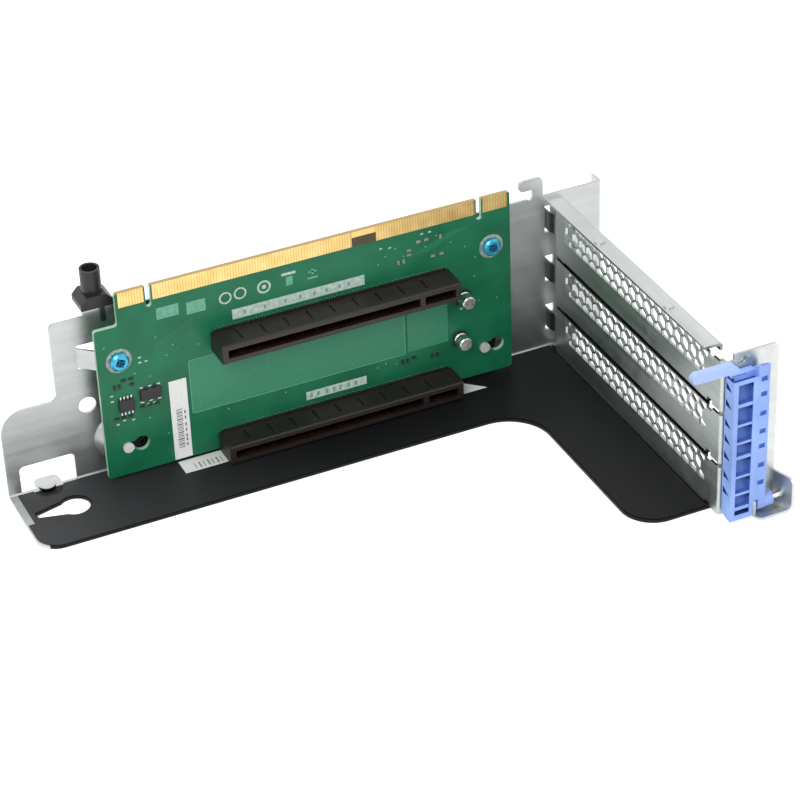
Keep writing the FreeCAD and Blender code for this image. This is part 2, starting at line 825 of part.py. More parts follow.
def build_fingers(label, front):
    """The gilded bands along the board's upper edge, broken by the notches."""
    margin = size("finger_margin")
    spans = [
        (size("shoulder_width") + margin, size("notch_left - notch_width / 2") - margin / 2),
        (size("notch_left + notch_width / 2") + margin / 2, size("bare_from")),
        (size("bare_to"), size("notch_right - notch_width / 2") - margin / 2),
        (size("notch_right + notch_width / 2") + margin / 2, size("card_length") - margin),
    ]
    if not front:
        spans[1:3] = [(spans[1][0], spans[2][1])]
    gauge = size("finger_gauge")
    depth = -gauge if front else size("card_gauge")
    low = size("card_floor + card_height - finger_inset - finger_length")
    return group(label, [block(start, depth, low, end - start, gauge, size("finger_length"))
                         for start, end in spans])


def build_screw(label, place_x, height):
    body = new_body(label)
    profile = new_sketch(body, "YZ_Plane")
    draw_outline(profile, [
        ("screw_reach", "0"),
        ("screw_reach", "screw_radius - screw_recess / 3"),
        ("screw_reach - screw_recess / 3", "screw_radius"),
        ("0", "screw_radius"),
        ("0", "screw_head_radius"),
        ("screw_dome - screw_head_height", "screw_head_radius"),
        ("-screw_head_height", "screw_head_radius - screw_dome"),
        ("-screw_head_height", "0"),
    ])
    revolve(body, profile, "H_Axis")
    recess = new_sketch(body, "XZ_Plane", "screw_head_height")
    draw_circle(recess, "0", "0", "screw_recess_radius")
    pocket(body, recess, "screw_recess")
    place(body, x=place_x, z=height)
    return body


def build_stud(label, place_x):
    body = new_body(label)
    profile = new_sketch(body, "YZ_Plane")
    draw_outline(profile, [
        ("stud_reach", "0"),
        ("stud_reach", "stud_head"),
        ("card_gauge + sheet_gauge", "stud_head"),
        ("card_gauge + sheet_gauge", "stud_neck"),
        ("-slide_clear", "stud_neck"),
        ("-slide_clear", "stud_head"),
        ("-slide_clear - stud_head_height", "stud_head"),
        ("-slide_clear - stud_head_height", "0"),
    ])
    revolve(body, profile, "H_Axis")
    place(body, x=place_x, z="stud_height")
    return body


# ---------------------------------------------------------------- connectors
# Long moulded sockets soldered to the board, each with two rows of contacts.

def build_socket(label, raised):
    body = new_body(label)
    outer = new_sketch(body, "XZ_Plane", "0", "socket_left")
    draw_box(outer, "0", "-socket_width / 2", "socket_length", "socket_width / 2")
    pad(body, outer, "socket_depth")
    front = -size("socket_depth")
    dress(body, "Chamfer", lambda e: abs(e.CenterOfMass.y - front) < size("fit_clear")
          and e.BoundBox.YLength < size("fit_clear"), "socket_bevel")
    slot = new_sketch(body, "XZ_Plane", "socket_depth", "socket_left")
    draw_box(slot, "socket_margin", "-socket_slot / 2",
             "socket_length - socket_margin - socket_short - socket_key", "socket_slot / 2")
    draw_box(slot, "socket_length - socket_margin - socket_short", "-socket_slot / 2",
             "socket_length - socket_margin", "socket_slot / 2")
    pocket(body, slot, "socket_slot_depth")
    ribs = new_sketch(body, "XY_Plane", "socket_width / 2", "socket_left")
    draw_box(ribs, "rib_first", "-socket_depth / 2 - rib_length / 2",
             "rib_first + rib_width", "-socket_depth / 2 + rib_length / 2")
    upper = pocket(body, ribs, "rib_depth")
    repeat(body, [upper], "X_Axis", "rib_pitch * (rib_count - 1)", "rib_count")
    under = new_sketch(body, "XY_Plane", "-socket_width / 2", "socket_left")
    draw_box(under, "rib_first", "-socket_depth / 2 - rib_length / 2",
             "rib_first + rib_width", "-socket_depth / 2 + rib_length / 2")
    lower = pocket(body, under, "rib_depth", reverse=True)
    repeat(body, [lower], "X_Axis", "rib_pitch * (rib_count - 1)", "rib_count")
    place(body, z=raised)
    return body


def build_contacts(label, raised):
    """Two facing rows of bowed spring contacts along a socket's slot."""
    pitch = size("contact_pitch")
    width = size("contact_width")
    start = size("socket_left + socket_margin")
    middle = size("socket_left + socket_length - socket_margin - socket_short - socket_key")
    after = size("socket_left + socket_length - socket_margin - socket_short")
    end = size("socket_left + socket_length - socket_margin")
    back = size("socket_slot_depth - socket_depth")
    length = size("contact_length")
    half = size("socket_slot") / 2
    gauge = size("contact_gauge")
    height = size(raised)
    bow_at = size("contact_bow")
    solids = []
    for low, high in ((start, middle), (after, end)):
        count = int((high - low - width) / pitch)
        first = (low + high - (count - 1) * pitch - width) / 2
        for index in range(count):
            left = first + index * pitch
            for side in (-1, 1):
                wall = height + side * half
                bow = [Vector(left, back, wall), Vector(left, back - length, wall),
                       Vector(left, back - length * bow_at, wall - side * gauge)]
                blade = Part.Face(Part.makePolygon(bow + bow[:1]))
                solids.append(blade.extrude(Vector(width, 0, 0)))
    return group(label, solids)


# ---------------------------------------------------------------- soldered parts
# Two tinned cans on moulded feet, two chips with their leads, and small chips.

def build_can(label, place_x, height):
    body = new_body(label)
    profile = new_sketch(body, "YZ_Plane")
    draw_outline(profile, [
        ("-can_foot_height", "0"),
        ("-can_foot_height", "can_radius"),
        ("-can_foot_height - can_groove", "can_radius"),
        ("-can_foot_height - can_groove * 2", "can_radius - can_groove"),
        ("-can_foot_height - can_groove * 3", "can_radius - can_groove"),
        ("-can_foot_height - can_groove * 4", "can_radius"),
        ("can_groove - can_height", "can_radius"),
        ("-can_height", "can_radius - can_groove"),
        ("-can_height", "0"),
    ])
    revolve(body, profile, "H_Axis")
    place(body, x=place_x, z=height)
    return body


def build_can_foot(label, place_x, height):
    body = new_body(label)
    outline = new_sketch(body, "XZ_Plane")
    draw_outline(outline, [
        ("-can_foot / 2", "-can_foot / 2"),
        ("can_foot / 2", "-can_foot / 2"),
        ("can_foot / 2", "can_foot / 2 - can_foot_cut"),
        ("can_foot / 2 - can_foot_cut", "can_foot / 2"),
        ("can_foot_cut - can_foot / 2", "can_foot / 2"),
        ("-can_foot / 2", "can_foot / 2 - can_foot_cut"),
    ])
    pad(body, outline, "can_foot_height")
    place(body, x=place_x, z=height)
    return body


def build_driver():
    body = new_body("driver_chip")
    outline = new_sketch(body, "XZ_Plane", "0", "driver_left", "driver_low")
    draw_box(outline, "0", "0", "driver_width", "driver_tall")
    pad(body, outline, "driver_gauge")
    front = -size("driver_gauge")
    dress(body, "Chamfer", lambda e: abs(e.CenterOfMass.y - front) < size("fit_clear")
          and e.BoundBox.YLength < size("fit_clear"), "driver_gauge / 6")
    return body


def build_driver_leads():
    """Short flat leads above and below the chip, lying on the board."""
    width = size("driver_lead")
    pitch = size("driver_lead_pitch")
    length = size("driver_lead_length")
    tall = size("driver_lead_height")
    first = size("driver_left + driver_width / 2") - pitch * 3 / 2 - width / 2
    low = size("driver_low")
    high = size("driver_low + driver_tall")
    solids = []
    for index in range(4):
        for bottom in (low - length, high):
            solids.append(block(first + index * pitch, -tall, bottom, width, tall, length))
    return group("driver_leads", solids)


def build_relay():
    body = new_body("clock_chip")
    outline = new_sketch(body, "XZ_Plane", "0", "relay_left", "relay_low")
    draw_box(outline, "0", "0", "relay_width", "relay_tall")
    pad(body, outline, "relay_gauge")
    front = -size("relay_gauge")
    dress(body, "Chamfer", lambda e: abs(e.CenterOfMass.y - front) < size("fit_clear")
          and e.BoundBox.YLength < size("fit_clear"), "relay_gauge / 8")
    return body


def build_relay_pads():
    """Three flat terminals above and below the larger chip."""
    width = size("relay_pad_width")
    length = size("relay_pad_length")
    tall = size("relay_pad_height")
    low = size("relay_low")
    high = size("relay_low + relay_tall")
    left = size("relay_left")
    span = size("relay_width") - width
    solids = []
    for index in range(3):
        for bottom in (low - length, high):
            solids.append(block(left + span * index / 2, -tall, bottom, width, tall, length))
    return group("clock_chip_pads", solids)


# Middles of the small chips on the board's face, across and up, and whether
# each stands upright.
RESISTORS = (
    (5.2, 38.2, True), (6.9, 38.2, True), (8.6, 40.2, False), (11.2, 40.2, False),
    (11.4, 38.0, False), (14.4, 28.0, False), (17.0, 28.0, False), (19.6, 28.0, False),
    (5.0, 25.7, False), (7.4, 25.7, False), (9.9, 25.7, False), (111.0, 16.8, True),
    (113.0, 16.8, True), (115.4, 17.4, False), (122.6, 16.0, True), (124.6, 16.0, True),
)
CAPACITORS = (
    (110.8, 57.4, True), (112.8, 57.4, True), (114.9, 61.2, False), (114.9, 59.4, False),
    (118.6, 63.7, False), (121.6, 63.7, False), (127.0, 63.5, True), (123.9, 56.6, False),
    (127.2, 56.6, False),
)


def build_chips(label, places):
    """Rectangular chip parts lying on the board."""
    length = size("chip_length")
    width = size("chip_width")
    tall = size("chip_height")
    solids = []
    for across, up, upright in places:
        wide, high = (width, length) if upright else (length, width)
        solids.append(block(across - wide / 2, -tall, up - high / 2, wide, tall, high))
    return group(label, solids)


def build_board_label():
    body = new_body("serial_label")
    area = new_sketch(body, "XZ_Plane", "0", "label_left", "label_low")
    draw_box(area, "0", "0", "label_width", "label_height")
    pad(body, area, "label_gauge")
    return body


# ---------------------------------------------------------------- slot frame
# The second folded sheet: it stands on the floor beside the covers, laps the
# wall at the back and carries the latch at the front.

def build_frame():
    body = new_body("slot_frame")
    web = new_sketch(body, "YZ_Plane", "frame_right - sheet_gauge")
    draw_box(web, "frame_front", "sheet_gauge", "wall_face", "frame_top")
    pad(body, web, "sheet_gauge")
    top = new_sketch(body, "XY_Plane", "frame_top - sheet_gauge")
    draw_box(top, "frame_left", "flange_end", "frame_right - sheet_gauge / 2", "wall_face")
    pad(body, top, "sheet_gauge")
    low = new_sketch(body, "XY_Plane", "sheet_gauge")
    draw_box(low, "flange_left", "arm_front", "frame_right - sheet_gauge / 2",
             "wall_face - bend_radius - sheet_gauge / 2")
    pad(body, low, "sheet_gauge")
    right = size("frame_right")
    dress(body, "Fillet", lambda e: runs_along(e, "x", y=size("wall_face"), z=size("sheet_gauge")),
          "bend_radius + fit_clear * 2")
    dress(body, "Fillet", lambda e: runs_along(e, "y", x=right, z=size("frame_top")),
          "bend_radius + sheet_gauge / 2")
    plate = new_sketch(body, "XZ_Plane", "-frame_front - sheet_gauge")
    draw_box(plate, "frame_right - sheet_gauge", "plate_foot", "cheek_root", "plate_top")
    pad(body, plate, "sheet_gauge")
    dress(body, "Fillet", lambda e: runs_along(e, "y", x=size("cheek_root"), z=size("plate_top")),
          "corner_radius")
    corner = new_sketch(body, "YZ_Plane", "frame_right - sheet_gauge * 2")
    draw_box(corner, "frame_front + sheet_gauge", "web_notch", "flange_end", "plate_top")
    pocket(body, corner, "sheet_gauge * 3", reverse=True)
    lap = new_sketch(body, "XZ_Plane", "-wall_face")
    draw_box(lap, "frame_right - sheet_gauge / 2", "lap_foot", "lap_right", "lap_top")
    pad(body, lap, "sheet_gauge")
    dress(body, "Fillet", lambda e: runs_along(e, "y", x=size("lap_right")), "corner_radius")

    link = new_sketch(body, "XY_Plane", "link_foot")
    draw_box(link, "cheek_root - sheet_gauge", "cradle_back", "cheek_root",
             "frame_front + sheet_gauge / 2")
    pad(body, link, "cheek_top - link_foot")
    cheek = new_sketch(body, "XY_Plane")
    draw_outline(cheek, [
        ("cheek_root - sheet_gauge", "cradle_back"),
        ("cheek_root", "cradle_back"),
        ("cheek_right", "cheek_front"),
        ("cheek_right - sheet_gauge", "cheek_front"),
    ])
    pad(body, cheek, "cheek_top")
    dress(body, "Fillet", lambda e: runs_along(e, "x", y=size("cheek_front"),
          z=size("cheek_top")), "step_radius")
    cradle = new_sketch(body, "XY_Plane")
    draw_outline(cradle, [
        ("cradle_left", "cradle_back"),
        ("cradle_left", "cheek_front"),
        ("cheek_right", "cheek_front"),
        ("cheek_root", "cradle_back"),
    ])
    pad(body, cradle, "sheet_gauge")
    dress(body, "Fillet", lambda e: runs_aslant(e, "sheet_gauge"), "cheek_bend")
    dress(body, "Fillet", lambda e: runs_aslant(e, "0"), "cheek_bend + sheet_gauge")
    dress(body, "Fillet", lambda e: runs_along(e, "z", x=size("cradle_left")), "step_radius")
    neck = new_sketch(body, "YZ_Plane", "cradle_left", "hinge_line", "hinge_height")
    draw_box(neck, "-cradle_eye", "-hinge_height", "cradle_eye", "0")
    pad(body, neck, "sheet_gauge")
    eye = new_sketch(body, "YZ_Plane", "cradle_left", "hinge_line", "hinge_height")
    draw_circle(eye, "0", "0", "cradle_eye")
    pad(body, eye, "sheet_gauge")
    bore = new_sketch(body, "YZ_Plane", "0", "hinge_line", "hinge_height")
    draw_circle(bore, "0", "0", "pin_radius + eye_clear")
    pocket(body, bore)

    bay = new_sketch(body, "YZ_Plane", "0", "0", "cover_lower_height")
    draw_box(bay, "frame_window_front", "-slot_pitch / 2 + frame_rung / 2",
             "frame_window_back", "slot_pitch / 2 - frame_rung / 2")
    repeat(body, [pocket(body, bay)], "Z_Axis", "slot_pitch * 2", "3")
    rung = new_sketch(body, "XY_Plane", "cover_lower_height + slot_pitch / 2 - sheet_gauge / 2")
    draw_box(rung, "rung_left", "frame_window_front", "frame_right - sheet_gauge / 2",
             "frame_window_back")
    repeat(body, [pad(body, rung, "sheet_gauge")], "Z_Axis", "slot_pitch", "2")
    for line in ("dimple_front", "dimple_back"):
        dimple = new_sketch(body, "XY_Plane", "frame_top", "dimple_place", line)
        draw_circle(dimple, "0", "0", "dimple_radius")
        pad(body, dimple, "dimple_height")
    for height in ("lap_rivet_low", "lap_rivet_high"):
        rivet = new_sketch(body, "XZ_Plane", "-wall_face + sheet_gauge * 2", "lap_rivet_place", height)
        draw_circle(rivet, "0", "0", "rivet_radius + rivet_clear")
        pocket(body, rivet, "sheet_gauge * 3")
    for line in ("floor_rivet_front", "floor_rivet_back"):
        rivet = new_sketch(body, "XY_Plane", "sheet_gauge * 2", "floor_rivet_place", line)
        draw_circle(rivet, "0", "0", "rivet_radius + rivet_clear")
        pocket(body, rivet, "sheet_gauge")
    return body


def rivet(direction, grip, place_point):
    """A flush-tailed rivet: a low head and a shank through the two sheets."""
    head = Part.makeCylinder(size("rivet_head_radius"), size("rivet_head_height"),
                             place_point, direction.negative())
    shank = Part.makeCylinder(size("rivet_radius"), grip, place_point, direction)
    return head.fuse(shank).removeSplitter()


def build_rivets():
    """Two rivets through the wall and two through the floor."""
    grip = size("sheet_gauge * 2")
    solids = []
    for height in ("lap_rivet_low", "lap_rivet_high"):
        point = Vector(size("lap_rivet_place"), size("wall_face - sheet_gauge"), size(height))
        solids.append(rivet(Vector(0, 1, 0), grip, point))
    for line in ("floor_rivet_front", "floor_rivet_back"):
        point = Vector(size("floor_rivet_place"), size(line), size("sheet_gauge * 2"))
        solids.append(rivet(Vector(0, 0, -1), grip, point))
    return group("frame_rivets", solids)


# ---------------------------------------------------------------- slot covers
# Three like blanking strips, each folded from thin sheet: a tongue that drops
# into the wall, a mesh field, and a tab that lies on the frame's front plate.

def build_cover(label, raised):
    body = new_body(label)
    strip = new_sketch(body, "YZ_Plane", "cover_face")
    draw_box(strip, "cover_front - cover_gauge", "-cover_width / 2", "cover_back", "cover_width / 2")
    pad(body, strip, "cover_gauge")
    tab = new_sketch(body, "XY_Plane", "-cover_width / 2")
    draw_box(tab, "cover_face + cover_gauge / 2", "cover_front - cover_gauge",
             "cover_tab_end", "cover_front")
    pad(body, tab, "cover_width")
    front = size("cover_front - cover_gauge")
    dress(body, "Fillet", lambda e: runs_along(e, "z", x=size("cover_face"), y=front), "cover_bend")
    dress(body, "Fillet", lambda e: runs_along(e, "y", x=size("cover_tab_end")), "corner_radius")
    notch = new_sketch(body, "XZ_Plane", "0", "tab_notch_place", "cover_width / 2")
    draw_circle(notch, "0", "0", "tab_notch_radius")
    pocket(body, notch)
    for side in ("cover_width / 2 - relief_width", "-cover_width / 2"):
        relief = new_sketch(body, "YZ_Plane", "cover_face + cover_gauge / 2", "relief_place", side)
        draw_box(relief, "-relief_length / 2", "0", "relief_length / 2", "relief_width")
        pocket(body, relief)
    tongue = new_sketch(body, "XY_Plane", "tongue_rise - tongue_width / 2", "cover_face")
    draw_outline(tongue, [
        ("0", "cover_back - sheet_gauge"),
        ("cover_gauge", "cover_back - sheet_gauge"),
        ("cover_gauge", "cover_back + sheet_gauge / 2"),
        ("cover_gauge - tongue_set", "tongue_bend"),
        ("cover_gauge - tongue_set", "tongue_end"),
        ("-tongue_set", "tongue_end"),
        ("-tongue_set", "tongue_bend - sheet_gauge / 2"),
        ("0", "cover_back"),
    ])
    pad(body, tongue, "tongue_width")
    dress(body, "Fillet", lambda e: runs_along(e, "x", y=size("tongue_end")), "corner_radius")

    cells = []
    cell = new_sketch(body, "YZ_Plane", "cover_face + cover_gauge / 2", "hex_first", "hex_line")
    draw_outline(cell, [
        ("-hex_across / 2", "-hex_point"),
        ("0", "-hex_point * 2"),
        ("hex_across / 2", "-hex_point"),
        ("hex_across / 2", "hex_point"),
        ("0", "hex_point * 2"),
        ("-hex_across / 2", "hex_point"),
    ])
    cells.append(pocket(body, cell))
    for side in ("", "-"):
        cell = new_sketch(body, "YZ_Plane", "cover_face + cover_gauge / 2",
                          "hex_first - hex_pitch / 2", "hex_line")
        draw_outline(cell, [
            ("0", side + "(hex_point + hex_gap)"),
            ("hex_across / 2", side + "(hex_point * 2 + hex_gap)"),
            ("hex_across / 2", side + "hex_edge"),
            ("-hex_across / 2", side + "hex_edge"),
            ("-hex_across / 2", side + "(hex_point * 2 + hex_gap)"),
        ])
        cells.append(pocket(body, cell))
    repeat(body, cells, "Y_Axis", "hex_pitch * (hex_count - 1)", "hex_count", reverse=True)
    place(body, z=raised)
    return body


# ---------------------------------------------------------------- latch
# A moulded lever that swings down over the covers' tabs, with its hinge pin.

def build_latch():
    body = new_body("retention_latch")
    bar = new_sketch(body, "XZ_Plane", "-latch_back")
    draw_box(bar, "latch_left", "hinge_height", "latch_right", "latch_shelf")
    pad(body, bar, "latch_back - latch_front")
    knuckle = new_sketch(body, "YZ_Plane", "latch_left", "hinge_line", "hinge_height")
    draw_circle(knuckle, "0", "0", "hinge_line - latch_front")
    pad(body, knuckle, "latch_right - latch_left")
    toe = new_sketch(body, "YZ_Plane", "latch_left", "hinge_line", "hinge_height")
    draw_outline(toe, [
        ("latch_front - hinge_line", "0"),
        ("latch_front - hinge_line", "-toe_drop"),
        ("toe_back", "-toe_heel"),
        ("toe_back", "0"),
    ])
    pad(body, toe, "toe_right - latch_left")
    barrel = new_sketch(body, "YZ_Plane", "latch_right - sheet_gauge", "hinge_line", "hinge_height")
    draw_circle(barrel, "0", "0", "knuckle_radius")
    pad(body, barrel, "knuckle_right - latch_right + sheet_gauge")
    rail = new_sketch(body, "XZ_Plane", "-latch_back")
    draw_box(rail, "rail_left", "latch_shelf - sheet_gauge", "latch_right", "latch_top")
    pad(body, rail, "latch_back - latch_front")
    ridge = new_sketch(body, "XZ_Plane", "-latch_back")
    draw_box(ridge, "latch_left", "latch_shelf - sheet_gauge", "thumb_join", "thumb_top")
    pad(body, ridge, "latch_ridge")
    thumb = new_sketch(body, "XZ_Plane", "-thumb_back")
    draw_box(thumb, "thumb_end", "thumb_low", "thumb_join", "thumb_top")
    pad(body, thumb, "thumb_back - thumb_front")
    dress(body, "Fillet", lambda e: runs_along(e, "y", x=size("thumb_end")), "thumb_round")

    groove = new_sketch(body, "XY_Plane", "latch_shelf")
    draw_box(groove, "groove_left", "groove_front", "rail_left", "thumb_front")
    pocket(body, groove, "groove_depth")
    column = new_sketch(body, "XZ_Plane", "-latch_front")
    draw_box(column, "bay_left", "bay_low", "bay_right", "bay_high")
    pocket(body, column, "bay_depth")
    for middle, tall, count in (("rung_thick_place", "rung_thick", 3),
                                ("rung_low_place", "rung_thin", 3),
                                ("rung_high_place", "rung_thin", 2)):
        rung = new_sketch(body, "XZ_Plane", "-latch_front - bay_depth", "0", middle)
        draw_box(rung, "bay_left", "-%s / 2" % tall, "bay_right", tall + " / 2")
        repeat(body, [pad(body, rung, "bay_depth - rung_set")], "Z_Axis",
               "slot_pitch * %d" % (count - 1), str(count))
    for low, count in (("notch_low_place", 3), ("notch_mid_place", 2), ("notch_high_place", 2)):
        nick = new_sketch(body, "YZ_Plane", "latch_left", "notch_line", low)
        draw_outline(nick, [
            ("0", "0"),
            ("notch_long", "0"),
            ("notch_long", "notch_tall"),
        ])
        repeat(body, [pocket(body, nick, "notch_depth_in", reverse=True)], "Z_Axis",
               "slot_pitch * %d" % (count - 1), str(count))
    for low, count in (("tooth_low_place", 3), ("tooth_mid_place", 2), ("tooth_high_place", 2)):
        tooth = new_sketch(body, "XZ_Plane", "-latch_front", "tooth_left", low)
        draw_box(tooth, "0", "0", "tooth_width", "tooth_height")
        repeat(body, [pocket(body, tooth, "tooth_depth")], "Z_Axis",
               "slot_pitch * %d" % (count - 1), str(count))

    gap = new_sketch(body, "YZ_Plane", "cradle_left + sheet_gauge / 2 - cradle_slot / 2",
                     "hinge_line", "hinge_height")
    draw_circle(gap, "0", "0", "cradle_swing")
    pocket(body, gap, "cradle_slot", reverse=True)
    swing = new_sketch(body, "YZ_Plane", "cradle_left + sheet_gauge / 2 - cradle_slot / 2",
                       "hinge_line", "hinge_height")
    draw_outline(swing, [
        ("-knuckle_radius * 2", "-knuckle_radius * 2"),
        ("cradle_swing", "-knuckle_radius * 2"),
        ("cradle_swing", "0"),
        ("0", "cradle_swing"),
        ("-knuckle_radius * 2", "cradle_swing"),
    ])
    pocket(body, swing, "cradle_slot", reverse=True)
    bore = new_sketch(body, "YZ_Plane", "pin_left - fit_clear", "hinge_line", "hinge_height")
    draw_circle(bore, "0", "0", "pin_radius + pin_clear")
    pocket(body, bore, "pin_right - pin_left", reverse=True)
    return body


def build_pin():
    body = new_body("latch_pin")
    rod = new_sketch(body, "YZ_Plane", "pin_left", "hinge_line", "hinge_height")
    draw_circle(rod, "0", "0", "pin_radius")
    pad(body, rod, "pin_right - pin_left")
    return body


# ---------------------------------------------------------------- guide post
# A moulded hollow post pressed through the ledge, with a sloping collar and a leg.

def build_post():
    body = new_body("guide_post")
    shaft = new_sketch(body, "XY_Plane", "ledge_top", "post_place", "post_line")
    draw_circle(shaft, "0", "0", "post_radius")
    pad(body, shaft, "post_top - ledge_top")
    collar = new_sketch(body, "XZ_Plane", "-collar_back", "post_place", "ledge_top")
    draw_outline(collar, [
        ("-collar_half", "0"),
        ("collar_half", "0"),
        ("collar_half", "collar_edge"),
        ("collar_top_half", "collar_height"),
        ("-collar_top_half", "collar_height"),
        ("-collar_half", "collar_edge"),
    ])
    pad(body, collar, "collar_back - collar_front")
    leg = new_sketch(body, "XY_Plane", "leg_foot", "post_place")
    draw_box(leg, "leg_left", "collar_front", "leg_left + leg_width",
             "wall_face - fit_clear * 2")
    pad(body, leg, "ledge_top + fit_clear - leg_foot")
    bore = new_sketch(body, "XY_Plane", "post_top", "post_place", "post_line")
    draw_circle(bore, "0", "0", "post_bore")
    pocket(body, bore, "post_bore_depth")
    stem = new_sketch(body, "XY_Plane", "post_stem_foot", "post_place", "post_line")
    draw_circle(stem, "0", "0", "post_stem")
    pad(body, stem, "ledge_top - post_stem_foot")
    return body


UPPER = "socket_lower_height + socket_spacing"
LOWER = "socket_lower_height"

parts = [
    build_carrier(),
    build_film(),
    build_strip_label(),
    build_card(),
    build_fingers("edge_contacts_front", True),
    build_fingers("edge_contacts_back", False),
    build_screw("board_screw_left", "screw_left", "screw_left_height"),
    build_screw("board_screw_right", "screw_right", "screw_right_height"),
    build_stud("hook_stud_left", "stud_left"),
    build_stud("hook_stud_right", "stud_right"),
    build_socket("connector_housing_upper", UPPER),
    build_socket("connector_housing_lower", LOWER),
    build_contacts("connector_contacts_upper", UPPER),
    build_contacts("connector_contacts_lower", LOWER),
    build_can("capacitor_can_upper", "can_upper", "can_upper_height"),
    build_can("capacitor_can_lower", "can_lower", "can_lower_height"),
    build_can_foot("capacitor_foot_upper", "can_upper", "can_upper_height"),
    build_can_foot("capacitor_foot_lower", "can_lower", "can_lower_height"),
    build_driver(),
    build_driver_leads(),
    build_relay(),
    build_relay_pads(),
    build_chips("chip_resistors", RESISTORS),
    build_chips("chip_capacitors", CAPACITORS),
    build_board_label(),
    build_frame(),
    build_rivets(),
    build_cover("slot_cover_lower", "cover_lower_height"),
    build_cover("slot_cover_middle", "cover_lower_height + slot_pitch"),
    build_cover("slot_cover_upper", "cover_lower_height + slot_pitch * 2"),
    build_latch(),
    build_pin(),
    build_post(),
]
doc.recompute()

for item in doc.Objects:
    if {"Invalid", "Error"} & set(item.State):
        raise RuntimeError("%s is %s" % (item.Label, item.State))

os.makedirs("parts", exist_ok=True)
for item in parts:
    if item.Shape.isNull() or not item.Shape.isValid() or not item.Shape.Solids:
        raise RuntimeError(item.Label + " has no sound shape")
    item.Shape.exportStep(os.path.join("parts", item.Label + ".step"))
    print(item.Label, len(item.Shape.Solids), round(item.Shape.Volume, 2))
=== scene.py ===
import math

import bpy
import numpy as np
from mathutils import Matrix, Vector


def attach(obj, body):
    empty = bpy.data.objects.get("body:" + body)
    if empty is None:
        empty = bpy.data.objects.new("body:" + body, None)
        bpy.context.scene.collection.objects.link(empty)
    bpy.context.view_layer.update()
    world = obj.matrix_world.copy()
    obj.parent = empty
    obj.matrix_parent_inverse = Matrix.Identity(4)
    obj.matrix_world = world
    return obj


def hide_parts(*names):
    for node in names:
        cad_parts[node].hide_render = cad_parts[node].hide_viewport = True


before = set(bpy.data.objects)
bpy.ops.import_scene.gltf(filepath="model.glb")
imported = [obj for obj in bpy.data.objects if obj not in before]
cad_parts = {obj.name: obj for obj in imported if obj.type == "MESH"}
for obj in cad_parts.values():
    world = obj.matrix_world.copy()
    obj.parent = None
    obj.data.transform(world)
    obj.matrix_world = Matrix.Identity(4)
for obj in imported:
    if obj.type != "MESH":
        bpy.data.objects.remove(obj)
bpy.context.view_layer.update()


# ---------------------------------------------------------------- view and light
# The camera stands left of the card and above it, with a long lens, so the slot
# covers run towards the viewer. Soft lamps and a white room light the steel.

LENS = 126.65
CAMERA_AT = (-0.2261, -0.7648, 0.5490)
TURN, DIP, ROLL = math.radians(23.787), math.radians(33.247), math.radians(-2.317)
CENTRE_SHIFT = (-0.005, -0.0011)

ahead = Vector((math.sin(TURN) * math.cos(DIP), math.cos(TURN) * math.cos(DIP), -math.sin(DIP)))
level = Vector((math.cos(TURN), -math.sin(TURN), 0.0))
upward = level.cross(ahead)
right = math.cos(ROLL) * level + math.sin(ROLL) * upward
up = math.cos(ROLL) * upward - math.sin(ROLL) * level
camera_data = bpy.data.cameras.new("camera")
camera_data.lens = LENS
camera_data.sensor_width = 36.0
camera_data.shift_x, camera_data.shift_y = CENTRE_SHIFT
camera_data.clip_end = 20.0
camera = bpy.data.objects.new("camera", camera_data)
camera.matrix_world = Matrix.Translation(CAMERA_AT) @ Matrix((right, up, -ahead)).transposed().to_4x4()
bpy.context.scene.collection.objects.link(camera)
bpy.context.scene.camera = camera
bpy.context.scene.view_settings.view_transform = "Standard"


def add_lamp(name, place, aim, width, power):
    """A square soft lamp that looks from its place to the aim."""
    data = bpy.data.lights.new(name, "AREA")
    data.shape = "SQUARE"
    data.size = width
    data.energy = power
    lamp = bpy.data.objects.new(name, data)
    lamp.location = place
    lamp.rotation_euler = (Vector(aim) - Vector(place)).to_track_quat("-Z", "Y").to_euler()
    bpy.context.scene.collection.objects.link(lamp)


add_lamp("key_lamp", (-0.55, -0.75, 0.95), (0.07, -0.03, 0.03), 0.6, 9.0)
add_lamp("fill_lamp", (0.9, -0.9, 0.5), (0.1, -0.03, 0.03), 0.8, 4.0)
add_lamp("top_lamp", (0.1, 0.4, 1.1), (0.08, -0.02, 0.02), 0.7, 5.0)


def node_tree(material):
    """The material's cleared node tree and its output node."""
    material.use_nodes = True
    tree = material.node_tree
    tree.nodes.clear()
    return tree, tree.nodes.new("ShaderNodeOutputMaterial")


def link(tree, source, target):
    """Joins one socket to another."""
    tree.links.new(source, target)


def ray_mask(tree, kinds):
    """1 for a ray of any of the kinds, else 0: the greatest of their light path outputs."""
    rays = tree.nodes.new("ShaderNodeLightPath")
    mask = rays.outputs[kinds[0]]
    for kind in kinds[1:]:
        greatest = tree.nodes.new("ShaderNodeMath")
        greatest.operation = "MAXIMUM"
        link(tree, mask, greatest.inputs[0])
        link(tree, rays.outputs[kind], greatest.inputs[1])
        mask = greatest.outputs[0]
    return mask


